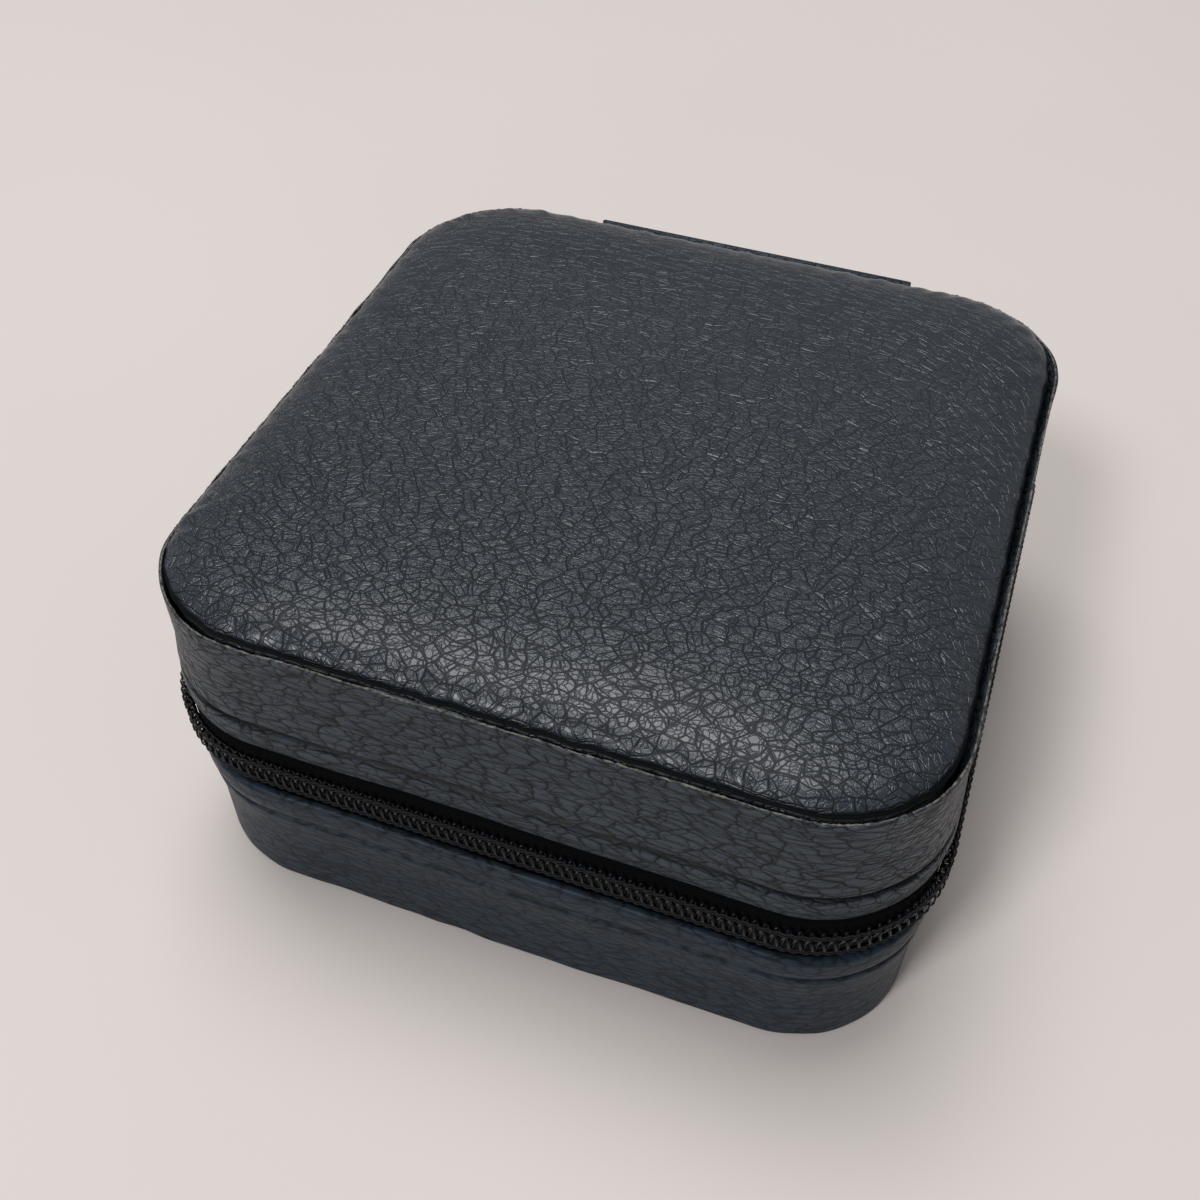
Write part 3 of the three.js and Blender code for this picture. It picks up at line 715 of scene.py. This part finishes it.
# The first colour, in the creases, is painted shade.
strap_skin = pebble_leather(
    "flat_pebble_leather",
    (1, 1, 1),
    cell=2.2,
    depth=0.16,
    crease=0.08,
    colours=("#050709", "#333e49"),
    shine=0.2,
)
strap_runs = (strap_up, strap_around)
strap = grid_piece("hinge_strap_leather", strap_grid, strap_skin, *strap_runs, closed=(False, True))
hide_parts("hinge_strap")
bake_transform(strap)

# ---- Underside -----------------------------------------------------------------------------------------
# A flat panel of the same leather closes the bottom. It is let in between the side leather's lower edges,
# with its own edge rolled up a little.
bottom_low, bottom_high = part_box("base_bottom_leather")


def panel_points(count, inset, height, roll):
    """A flat panel inside the outline: rings of the outline, scaled about the middle, and bent by roll
    over the last millimetre, as a square law."""
    ring, walked = square_rings(count)
    centre, facing = outline(walked)
    share = np.sin(ring * np.pi / 2) ** 0.8
    point = (centre + (corner - inset) * facing) * share
    near = smooth_step(share, 0.975, 1.0)
    return np.stack([point.real, point.imag, height + roll * near * near], axis=-1)


bottom_skin = pebble_leather("bottom_pebble_leather", (1, 1, 1), cell=2.5, depth=0.16, crease=0.1)
bottom_points = panel_points(81, half - bottom_high[0], bottom_low[2] + 0.05 * mm, 0.35 * mm)
bottom = grid_piece("base_bottom_leather_panel", bottom_points[:, ::-1], bottom_skin, closed=(False, False))
add_wall(bottom, 0.5 * mm)
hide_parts("base_bottom_leather")
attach(bottom, "base")

# ---- Greyboard and foam --------------------------------------------------------------------------------
# Each tray is a bent greyboard frame with a flat board glued on, and the lid's top is padded with a sheet
# of polyether foam. Linings and leather hide them all, so they keep their plain shapes.
grey_fibre, tree, shader = new_material("greyboard", Roughness=0.92)
spot = add_node(tree, "ShaderNodeTexCoord").outputs["Object"]
fibres = {"Vector": spot, "Scale": 500.0, "Detail": 6.0, "Roughness": 0.65}
pulp = add_node(tree, "ShaderNodeTexNoise", fibres)
paint(tree, shader, pulp.outputs["Fac"], "#6f6b64", "#98938a", (0.35, 0.65))
emboss(tree, shader, pulp.outputs["Fac"], 0.05 * mm)

# Open-cell foam: cream, with cells about half a millimetre wide.
open_foam, tree, shader = new_material("polyether_foam", Roughness=0.95)
spot = add_node(tree, "ShaderNodeTexCoord").outputs["Object"]
cells = add_node(tree, "ShaderNodeTexVoronoi", {"Vector": spot, "Scale": 2000.0})
paint(tree, shader, cells.outputs["Distance"], "#9c957f", "#d9d3bd")
emboss(tree, shader, cells.outputs["Distance"], 0.3 * mm)

for node, stuff in [
    ("base_frame", grey_fibre),
    ("base_board", grey_fibre),
    ("lid_frame", grey_fibre),
    ("lid_board", grey_fibre),
    ("lid_foam", open_foam),
]:
    hidden = bpy.data.objects[node]
    for place in hidden.material_slots:
        place.material = stuff

# ---- Velvet linings ------------------------------------------------------------------------------------
# Flock velvet lines both trays: a strip round the walls that is folded over the board's rim, and a panel
# on the floor and on the ceiling, glued on thin card so that its edge is softly rounded.
rim_outer = 1.8 * mm
lining_inner = 4.7 * mm
lining = 0.8 * mm


def velvet(name, colours=("#6d655d", "#a39a90"), brushed=26.0):
    """Flock velvet: short nylon pile, quite matt, with a pale sheen at a glancing angle. Patches some 2 to
    4 cm wide, where the pile has been brushed this way or that, are painted darker and lighter as
    painted sheen, over a speckle of pile."""
    material, tree, shader = new_material(name, Roughness=0.95, Sheen_Weight=0.55, Sheen_Roughness=0.35)
    shader.inputs["Sheen Tint"].default_value = linear("#d9d2c9")
    spot = add_node(tree, "ShaderNodeTexCoord").outputs["Object"]
    # Painted sheen: the brushed patches, lighter and darker in the base colour.
    patches = {"Vector": spot, "Scale": 1 / (brushed * mm), "Detail": 3.0, "Distortion": 0.8}
    sheen_patches = add_node(tree, "ShaderNodeTexNoise", patches)
    pile = add_node(tree, "ShaderNodeTexNoise", {"Vector": spot, "Scale": 2600.0, "Detail": 2.0})
    speckle = add_node(tree, "ShaderNodeMath", {0: pile.outputs["Fac"], 1: 0.45}, operation="MULTIPLY")
    laid = add_node(tree, "ShaderNodeMath", {0: sheen_patches.outputs["Fac"], 1: 0.75}, operation="MULTIPLY")
    both = add_node(tree, "ShaderNodeMath", {0: speckle.outputs[0], 1: laid.outputs[0]}, operation="ADD")
    paint(tree, shader, both.outputs[0], *colours, (0.4, 0.8))
    emboss(tree, shader, pile.outputs["Fac"], 0.12 * mm)
    return material


flock = velvet("flock_velvet")


def wall_lining(name, rim, far, material):
    """The strip's section: up the inner face, over the rim in a half ellipse, a little way down outside
    the board and back under itself, carried round the case."""
    side = np.sign(rim - far)
    angle = np.linspace(0, np.pi, 13)
    fold = 0.9 * mm
    middle, reach = (rim_outer + lining_inner) / 2, (lining_inner - rim_outer) / 2
    over_in = middle + reach * np.cos(angle)
    over_up = rim - side * fold * (1 - np.sin(angle))
    under_in = middle + (reach - 0.55 * lining) * np.cos(angle[::-1])
    under_up = rim - side * fold * (1.75 - np.sin(angle[::-1]) * 0.9)
    face_up = np.linspace(far, rim - side * fold, 12)[:-1]
    inset = np.concatenate([np.full(11, lining_inner), over_in, under_in, np.full(11, lining_inner - lining)])
    height = np.concatenate([face_up, over_up, under_up, face_up[::-1]])
    walked = np.linspace(0, round_trip, 241)
    ease = wavy(walked[:-1], 31, 5, 20)[:, None] * 0.06 * mm
    lengths = np.hypot(np.diff(inset, append=inset[0]), np.diff(height, append=height[0]))
    points = on_wall(walked[:-1, None], ease - inset, height)
    return grid_piece(name, points, material, walked, np.concatenate([[0], np.cumsum(lengths)]))


for name, rim, far, body in [
    ("base_wall_lining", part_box("base_wall_lining")[1][2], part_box("base_wall_lining")[0][2], "base"),
    ("lid_wall_lining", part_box("lid_wall_lining")[0][2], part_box("lid_wall_lining")[1][2], "lid"),
]:
    strip = wall_lining(f"{name}_strip", rim, far, flock)
    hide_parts(name)
    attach(strip, body)

for name, level, face, body in [("base_floor_lining", 1, 1, "base"), ("lid_ceiling_lining", 0, -1, "lid")]:
    panel_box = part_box(name)
    card = panel_points(91, half - panel_box[1][0], panel_box[level][2], -face * 0.5 * mm)
    if face < 0:
        card = card[:, ::-1]
    panel = grid_piece(f"{name}_panel", card, flock, closed=(False, False))
    add_wall(panel, 0.6 * mm)
    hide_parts(name)
    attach(panel, body)

# ---- Ring rolls ----------------------------------------------------------------------------------------
# Eight foam rods in velvet sleeves stand side by side and grip the rings between them. The sleeves are
# closed in soft rounded ends, and the end rods are shorter at the tray's corners.
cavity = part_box("ring_roll_8")[1][1]
cavity_corner = 12.0 * mm
tip_share = 0.02


def ring_roll(name, low, high, material, seed):
    """One rod: a section carried along X and drawn in to a point at both ends by a superellipse. The
    section is flat below and round on top, its shoulders pinched in. Its left end follows the tray's
    rounded corner."""
    share = (1 - np.cos(np.linspace(0, np.pi, 61))) / 2
    ends = np.maximum(1 - np.abs(2 * share - 1) ** 26, 0) ** 0.4
    ends[[0, -1]] = tip_share
    angle = np.linspace(0, 2 * np.pi, 44, endpoint=False)
    half_width, rise = (high[1] - low[1]) / 2, high[2] - low[2]
    across = np.sign(np.cos(angle)) * np.abs(np.cos(angle)) ** 0.75
    upper = np.sin(angle) > 0
    rounded, flat = np.abs(np.sin(angle)) ** 0.8, np.abs(np.sin(angle)) ** 0.3
    height = np.where(upper, rounded * 0.52, flat * -0.48) * rise
    random = np.random.default_rng(seed)
    sag = 0.12 * mm * np.sin(share * 9 + random.uniform(0, 6))
    sag = sag + 0.07 * mm * np.sin(share * 23 + random.uniform(0, 6))
    y = (low[1] + high[1]) / 2 + half_width * across * ends[:, None]
    z = low[2] + 0.48 * rise + height * ends[:, None] ** 0.7 + np.where(upper, sag[:, None], 0)
    z = np.minimum(z, high[2])
    into_corner = np.clip(np.abs(y) - (cavity - cavity_corner), 0, cavity_corner * 0.999)
    left = -(cavity - cavity_corner) - np.sqrt(cavity_corner**2 - into_corner**2)
    x = left + (high[0] - left) * share[:, None]
    return grid_piece(name, np.stack([x, y, z], axis=-1), material, closed=(False, True), weld=True)


for number in range(1, 9):
    roll_low, roll_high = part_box(f"ring_roll_{number}")
    rod = ring_roll(f"ring_roll_{number}_sleeve", roll_low, roll_high, flock, 40 + number)
    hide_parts(f"ring_roll_{number}")
    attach(rod, "base")

# ---- Partition and dividers ----------------------------------------------------------------------------
# Thin greyboard walls wrapped in velvet, so their edges are round. The long one is glued in, and the two
# short ones stand loose in the right-hand half and lift out.
def rounded_block(name, low, high, radius, material):
    """A block whose edges are rounded by a radius: a sphere's points, each pushed out to the corner of
    the inner block that lies its way."""
    low, high = np.asarray(low), np.asarray(high)
    tilt = np.linspace(-np.pi / 2, np.pi / 2, 12)
    turn = np.pi / 4 * np.repeat([1, 3, 5, 7], 6) + np.tile(np.linspace(-np.pi / 4, np.pi / 4, 6), 4)
    tilt, turn = np.meshgrid(tilt, turn, indexing="ij")
    middle, reach = (low + high) / 2, (high - low) / 2 - radius
    way = np.stack([np.cos(tilt) * np.cos(turn), np.cos(tilt) * np.sin(turn), np.sin(tilt)], axis=-1)
    quarter = np.floor(np.arange(24) / 6)
    right, rear = (quarter == 0) | (quarter == 3), quarter < 2
    signs = np.stack([np.where(right, 1, -1), np.where(rear, 1, -1)], axis=-1)
    signs = np.concatenate([np.broadcast_to(signs, (12, 24, 2)), np.sign(tilt)[..., None]], axis=-1)
    points = middle + signs * reach + radius * way
    return grid_piece(name, points, material, closed=(False, True), weld=True)


for node, body in [
    ("partition", "base"),
    ("divider_front", "front_divider"),
    ("divider_rear", "rear_divider"),
]:
    board_low, board_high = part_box(node)
    covered = rounded_block(f"{node}_covered", board_low, board_high, 0.68 * mm, flock)
    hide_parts(node)
    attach(covered, body)

# ---- Lid pocket ----------------------------------------------------------------------------------------
# A gathered pocket of thin velvet is sewn to the ceiling along its sides and back. A covered elastic
# draws its mouth in, which throws the cloth into small gathers that fade towards the back.
pocket_low, pocket_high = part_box("lid_pocket")
elastic_low, elastic_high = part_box("pocket_elastic")
pocket_wide, pocket_long = pocket_high[0] - pocket_low[0], pocket_high[1] - pocket_low[1]
pocket_deep = pocket_high[2] - pocket_low[2] - 0.7 * mm
gathers = 17
cloth = 0.45 * mm


def pocket_depth(across, along):
    """How far the cloth hangs below the ceiling, by its place from -1 to 1 across and 0 to 1 from mouth
    to back: superellipses close it at the sides and the back, and cosine gathers ride on it, deepest at
    the mouth."""
    sides = np.maximum(1 - np.abs(across) ** 5, 0) ** 0.5
    back = np.maximum(1 - along**6, 0) ** 0.5
    slack = 0.82 + 0.1 * np.sin(3 * along + across)
    pleat = np.cos(gathers * np.pi * across + 0.8 * np.sin(5 * across) + 0.5 * np.sin(4 * along))
    pleat = pleat + 0.4 * np.cos(2.3 * gathers * np.pi * across + 2 * along)
    fading = 0.13 * np.exp(-along / 0.35) + 0.02
    return pocket_deep * sides * back * (slack + fading * pleat)


u, v = np.meshgrid(np.sin(np.linspace(-1, 1, 241) * np.pi / 2), np.linspace(0, 1, 91) ** 0.9, indexing="ij")
pocket_grid = np.stack(
    [
        u * pocket_wide / 2,
        pocket_low[1] + v * pocket_long,
        pocket_high[2] - 0.08 * mm - pocket_depth(u, v),
    ],
    axis=-1,
)
pocket = grid_piece("lid_pocket_cloth", pocket_grid[:, ::-1], flock, closed=(False, False))
add_wall(pocket, cloth)
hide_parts("lid_pocket")
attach(pocket, "lid")


def elastic_casing(name, material):
    """The casing round the elastic: an oval tube along the pocket's mouth, pinched between the
    gathers."""
    across = np.sin(np.linspace(-1, 1, 401) * np.pi / 2) * 0.995
    height = pocket_high[2] - 0.5 * mm - 0.97 * pocket_depth(across, np.zeros(401)) + 0.1 * mm
    mouth = np.full(401, (elastic_low[1] + elastic_high[1]) / 2 + 0.3 * mm)
    path = np.stack([across * pocket_wide / 2, mouth, height], axis=-1)
    pinch = 1 + 0.14 * np.cos(gathers * 2 * np.pi * across + 0.8 * np.sin(5 * across))
    casing = tube(path, 1.0, 14, (0, 1.0, 0))
    swell = (casing - path[:, None]) * (1.05 * mm * pinch)[:, None, None] * np.array([1, 0.8, 1])
    return grid_piece(name, path[:, None] + swell, material, closed=(False, True))


# The casing is the same cloth gathered up tight; its pile is painted darker, as painted shade.
casing_shaded_velvet = velvet("casing_velvet_painted_shade", ("#5c554e", "#8f867c"), 8.0)
casing = elastic_casing("pocket_elastic_casing", casing_shaded_velvet)
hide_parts("pocket_elastic")
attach(casing, "lid")


def necklace_strap(name, end_box, flap_box, material):
    """The tongue as a sheet: straight sides and a half-round end, its run stepping down in an S curve
    from the sewn end's height to the flap's. Its edges thin out by a superellipse, as a pared leather
    edge does."""
    middle, wide = (flap_box[0][0] + flap_box[1][0]) / 2, (flap_box[1][0] - flap_box[0][0]) / 2
    tip_start = flap_box[1][1] - wide
    straight_run = np.linspace(end_box[0][1], tip_start, 60)[:-1]
    round_run = tip_start + wide * np.sin(np.linspace(0, np.pi / 2, 24))
    run = np.concatenate([straight_run, round_run])
    tip = np.clip((run - tip_start) / wide, 0, 1)
    half_wide = wide * np.sqrt(np.maximum(1 - tip**2, 0.0004))
    end_height = (end_box[0][2] + end_box[1][2]) / 2
    flap_height = (flap_box[0][2] + flap_box[1][2]) / 2
    step = smooth_step(run, end_box[1][1] - 0.6 * mm, flap_box[0][1] + 1.2 * mm)
    height = end_height + (flap_height - end_height) * step
    thick = (end_box[1][2] - end_box[0][2]) / 2
    angle = np.linspace(0, 2 * np.pi, 40, endpoint=False)
    across = np.sign(np.cos(angle)) * np.abs(np.cos(angle)) ** 0.25
    above = np.sign(np.sin(angle)) * np.abs(np.sin(angle)) ** 0.5
    x = middle + across * half_wide[:, None]
    z = height[:, None] + thick * above * np.where(tip < 0.999, 1, 0.3)[:, None]
    y = np.broadcast_to(run[:, None], x.shape)
    lengths = np.concatenate([[0], np.cumsum(np.abs(np.diff(across, append=across[0])) * wide)])
    points = np.stack([x, y, z], axis=-1)
    return grid_piece(name, points, material, run - run[0], lengths, closed=(False, True))


strap_leather_fine = pebble_leather("tongue_pebble_leather", (1, 1, 1), cell=1.4, depth=0.1, crease=0.12)
thread_rows = []
for number in (1, 2, 3):
    end_box, flap_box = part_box(f"necklace_strap_end_{number}"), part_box(f"necklace_strap_{number}")
    tongue = necklace_strap(f"necklace_strap_{number}_tongue", end_box, flap_box, strap_leather_fine)
    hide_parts(f"necklace_strap_end_{number}", f"necklace_strap_{number}")
    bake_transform(tongue)
    stitch = np.linspace(flap_box[0][0] + 1.2 * mm, flap_box[1][0] - 1.2 * mm, 5)
    for row in (0.3, 0.7):
        y = end_box[0][1] + row * (end_box[1][1] - end_box[0][1])
        sag = np.linspace(-1, 1, 7)
        x = (stitch[:-1] + stitch[1:])[:, None] / 2 + sag * 0.7 * mm
        z = end_box[0][2] - 0.08 * mm + 0.3 * mm * sag**4
        thread_rows.append(np.stack(np.broadcast_arrays(x, y, z), axis=-1))
tongue_stitches = grid_piece(
    "necklace_strap_stitching",
    tube(np.concatenate(thread_rows), 0.17 * mm, 6, (0, 1.0, 0)),
    sewing_thread,
    closed=(False, True),
)
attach(tongue_stitches, "lid")

# ---- Press studs ---------------------------------------------------------------------------------------
# Stamped brass, nickel plated: a domed cap with a rolled edge on each tongue, and in the ceiling a stud
# whose round head snaps into it.
def nickel_plate(name, colour, scratches, gloss):
    """Bright nickel plate on a stamped or cast blank: a warm white metal, polished in a barrel, so that
    it has very fine scratches, drawn out one way, and a slightly cloudy tone."""
    material, tree, shader = new_material(name, Metallic=1.0)
    spot = add_node(tree, "ShaderNodeTexCoord").outputs["Object"]
    drawn_out = {"Vector": spot, "Rotation": (0.7, 0.4, 0.9), "Scale": (1, 14, 3)}
    stretch = add_node(tree, "ShaderNodeMapping", drawn_out).outputs[0]
    lines = add_node(tree, "ShaderNodeTexNoise", {"Vector": stretch, "Scale": scratches, "Detail": 4.0})
    cloud = add_node(tree, "ShaderNodeTexNoise", {"Vector": spot, "Scale": 300.0, "Detail": 3.0})
    paint(tree, shader, cloud.outputs["Fac"], "#8f8c86", colour)
    scuffed = {"Value": lines.outputs["Fac"], "To Min": gloss[0], "To Max": gloss[1]}
    worn = add_node(tree, "ShaderNodeMapRange", scuffed)
    tree.links.new(worn.outputs[0], shader.inputs["Roughness"])
    emboss(tree, shader, lines.outputs["Fac"], 0.006 * mm)
    return material


def turned_piece(name, profile, middle, material):
    """A profile of (radius, height) points turned about an upright axis, its ends closed to points."""
    radius, height = np.asarray(profile).T
    angle = np.linspace(0, 2 * np.pi, 48, endpoint=False)
    x = middle[0] + np.outer(radius, np.cos(angle))
    y = middle[1] + np.outer(radius, np.sin(angle))
    z = np.broadcast_to(height[:, None], x.shape)
    return grid_piece(name, np.stack([x, y, z], axis=-1), material, closed=(False, True), weld=True)


plated = nickel_plate("nickel_plated_brass", "#aaa7a1", 400.0, (0.2, 0.4))
curl = 0.36 * mm
neck = 1.1 * mm
head_radius = 1.4 * mm
for number in (1, 2, 3):
    cap_low, cap_high = np.array(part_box(f"snap_cap_{number}"))
    middle, wide = (cap_low + cap_high)[:2] / 2, (cap_high[0] - cap_low[0]) / 2
    turn = np.linspace(0, np.pi / 2, 12)
    dome = np.column_stack([wide * 0.78 * np.sin(turn), cap_low[2] + 0.35 * mm * (1 - np.cos(turn))])
    bead = np.linspace(-np.pi * 0.75, np.pi / 2, 12)
    rolled = np.column_stack([wide - curl + curl * np.cos(bead), cap_high[2] - curl + curl * np.sin(bead)])
    profile = np.concatenate([dome, rolled, [[0, cap_high[2]]]])
    cap = turned_piece(f"snap_cap_{number}_domed", profile, middle, plated)
    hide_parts(f"snap_cap_{number}")
    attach(cap, f"necklace_strap_{number}")
    stud_low, stud_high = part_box(f"snap_stud_{number}")
    wide = (stud_high[0] - stud_low[0]) / 2
    ball = np.linspace(0, np.pi * 0.72, 14)
    head = np.column_stack([head_radius * np.sin(ball), stud_low[2] + 0.55 * mm * (1 - np.cos(ball))])
    plate_low = stud_high[2] - 0.45 * mm
    plate = [[neck, plate_low - 0.1 * mm], [neck + 0.2 * mm, plate_low], [wide - 0.15 * mm, plate_low]]
    plate = plate + [[wide, plate_low + 0.15 * mm], [wide, stud_high[2]], [0, stud_high[2]]]
    stud = turned_piece(f"snap_stud_{number}_turned", np.concatenate([head, plate]), middle, plated)
    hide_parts(f"snap_stud_{number}")
    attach(stud, "lid")

# ---- Top stops -----------------------------------------------------------------------------------------
# A bent clip of plated wire is crimped over each coil where the zip ends, so that the slider can't run
# off.
for node, body in [("base_top_stop", "base"), ("lid_top_stop", "lid")]:
    clip = rounded_block(f"{node}_clip", *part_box(node), 0.3 * mm, plated)
    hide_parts(node)
    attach(clip, body)

# ---- Slider --------------------------------------------------------------------------------------------
# Die-cast zinc, nickel plated. Two shield-shaped wings, one over and one under the chain, are joined by a
# post, and a bridge on the outer wing holds the pull.
die_cast = nickel_plate("nickel_plated_zinc", "#a8a6a1", 250.0, (0.2, 0.42))
slider_low, slider_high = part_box("zip_slider")
outer_face, inner_face, wing = 2.0 * mm, -0.5 * mm, 0.9 * mm
bridge_foot = outer_face + wing
bridge_top = -half - slider_low[0]
bridge_front, bridge_span, bar_thick, bar_wide = 1.6 * mm, 4.0 * mm, 0.9 * mm, 1.6 * mm
post_length, post_half = 3.0 * mm, 0.2 * mm


def shield(low_out, high_out, narrow, wide):
    """A wing: an oval plate section carried along the chain. Its half width grows by an S curve from the
    narrow end to the wide one, and a superellipse rounds both ends."""
    share = (1 - np.cos(np.linspace(0, np.pi, 45))) / 2
    ends = np.maximum(1 - np.abs(2 * share - 1) ** 9, 0) ** 0.45
    ends[[0, -1]] = tip_share
    reach = (narrow + (wide - narrow) * smooth_step(share, 0.25, 0.75)) * ends
    angle = np.linspace(0, 2 * np.pi, 40, endpoint=False)
    across = np.sign(np.cos(angle)) * np.abs(np.cos(angle)) ** 0.35
    thick = np.sign(np.sin(angle)) * np.abs(np.sin(angle)) ** 0.6 * (high_out - low_out) / 2
    y = slider_low[1] + (slider_high[1] - slider_low[1]) * share
    out = (low_out + high_out) / 2 + thick * (0.35 + 0.65 * ends[:, None])
    z = zip_line + across * reach[:, None]
    return np.stack(np.broadcast_arrays(-half - out, y[:, None], z), axis=-1)


def bridge_points():
    """An oval bar carried over a superellipse arch, from inside the outer wing and back into it."""
    angle = np.linspace(np.pi, 0, 41)
    squared = np.sign(np.cos(angle)) * np.abs(np.cos(angle)) ** 0.4
    y = slider_low[1] + bridge_front + 0.5 * mm + bridge_span / 2 * (1 + squared)
    rise = bridge_top - bar_thick / 2 - bridge_foot + 0.3 * mm
    out = bridge_foot - 0.3 * mm + rise * np.abs(np.sin(angle)) ** 0.4
    path = np.stack([-half - out, y, np.full(41, zip_line)], axis=-1)
    return tube(path, bar_wide / 2, 20, (0, 0, 1.0), bar_thick / bar_wide)


half_wide = slider_high[2] - zip_line
for part_name, points in [
    ("outer_wing", shield(outer_face, bridge_foot, 0.76 * half_wide, half_wide)),
    ("inner_wing", shield(inner_face - wing, inner_face, 0.68 * half_wide, 0.86 * half_wide)),
    ("bridge", bridge_points()),
]:
    casting = grid_piece(f"zip_slider_{part_name}", points, die_cast, closed=(False, True), weld=True)
    if part_name == "outer_wing":
        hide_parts("zip_slider")
    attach(casting, "slider")
for part_name, low, high in [
    (
        "post",
        (-half - outer_face - 0.1 * mm, slider_high[1] - post_length, zip_line - post_half),
        (-half - inner_face + 0.1 * mm, slider_high[1] - 0.3 * mm, zip_line + post_half),
    ),
    (
        "flange",
        (-half - outer_face - 0.2 * mm, slider_low[1] + 2 * mm, zip_line - half_wide + 0.02 * mm),
        (-half - 0.7 * mm, slider_high[1] - 1.2 * mm, zip_line - half_wide + 0.48 * mm),
    ),
]:
    casting = rounded_block(f"zip_slider_{part_name}", low, high, 0.19 * mm, die_cast)
    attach(casting, "slider")

# ---- Pull ----------------------------------------------------------------------------------------------
# The pull is a die-cast tab whose eye goes round the bridge's front leg. Its face is sunk a little inside
# a raised border.
pull_low, pull_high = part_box("zip_pull")
pull_out = -half - (pull_low[0] + pull_high[0]) / 2
pull_thick = pull_high[0] - pull_low[0]
eye_y = (pull_low[1] + pull_high[1]) / 2
eye_inner, eye_outer = 1.24 * mm, 2.34 * mm
tab_wide = (pull_high[1] - pull_low[1]) / 2
neck_wide, neck_end, tab_start = 1.1 * mm, 5 * mm, 9 * mm


def pull_eye():
    """A flat ring: an oval section, squarer than an ellipse, turned round the leg's axis."""
    angle = np.linspace(0, 2 * np.pi, 64, endpoint=False)[:, None]
    around = np.linspace(0, 2 * np.pi, 24, endpoint=False)
    squared = np.sign(np.cos(around)) * np.abs(np.cos(around)) ** 0.6
    radius = (eye_inner + eye_outer) / 2 + (eye_outer - eye_inner) / 2 * squared
    out = pull_out + pull_thick / 2 * np.sign(np.sin(around)) * np.abs(np.sin(around)) ** 0.6
    y, z = eye_y + radius * np.cos(angle), zip_line + radius * np.sin(angle)
    return np.stack(np.broadcast_arrays(-half - out, y, z), axis=-1)


def pull_tab():
    """The tab's outline is a neck that widens in an S curve and ends in a half circle. Across it the
    faces are flat with rounded edges, and sunk by an S curve beyond the border."""
    hang = zip_line - pull_low[2]
    start = (eye_inner + eye_outer) / 2
    tip = np.sin(np.linspace(0, np.pi / 2, 30))
    round_start = hang - tab_wide
    down = np.concatenate([np.linspace(start, round_start, 50)[:-1], round_start + tab_wide * tip])
    reach = neck_wide + (tab_wide - neck_wide) * smooth_step(down, neck_end, tab_start)
    past = np.clip((down - round_start) / tab_wide, 0, 1)
    reach = (reach * np.sqrt(np.maximum(1 - past**2, 0.0003)))[:, None]
    side = np.sin(np.linspace(-1, 1, 33) * np.pi / 2)
    across = np.concatenate([side, side[-2:0:-1]])
    face = np.concatenate([np.ones(33), -np.ones(31)])
    border = np.minimum((1 - np.abs(across)) * reach, (hang - down)[:, None])
    border = np.minimum(border, (down - tab_start + 1.4 * mm)[:, None])
    near = np.clip(border / (0.3 * mm), 0, 1)
    rounded = np.sqrt(near * (2 - near))
    rounded = np.where(down[:, None] < tab_start, np.maximum(1 - np.abs(across) ** 8, 0) ** 0.5, rounded)
    sunk = 0.2 * mm * smooth_step(border, 0.65 * mm, 0.85 * mm)
    out = pull_out + face * (pull_thick / 2 * (0.25 + 0.75 * rounded) - sunk)
    out = np.where(np.abs(across) > 0.9999, pull_out, out)
    y, z = eye_y + across * reach, np.broadcast_to(zip_line - down[:, None], out.shape)
    return np.stack([-half - out, y, z], axis=-1)


eye = grid_piece("zip_pull_eye", pull_eye(), die_cast)
tab = grid_piece("zip_pull_tab", pull_tab(), die_cast, closed=(False, True))
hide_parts("zip_pull")
for piece in (eye, tab):
    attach(piece, "pull")
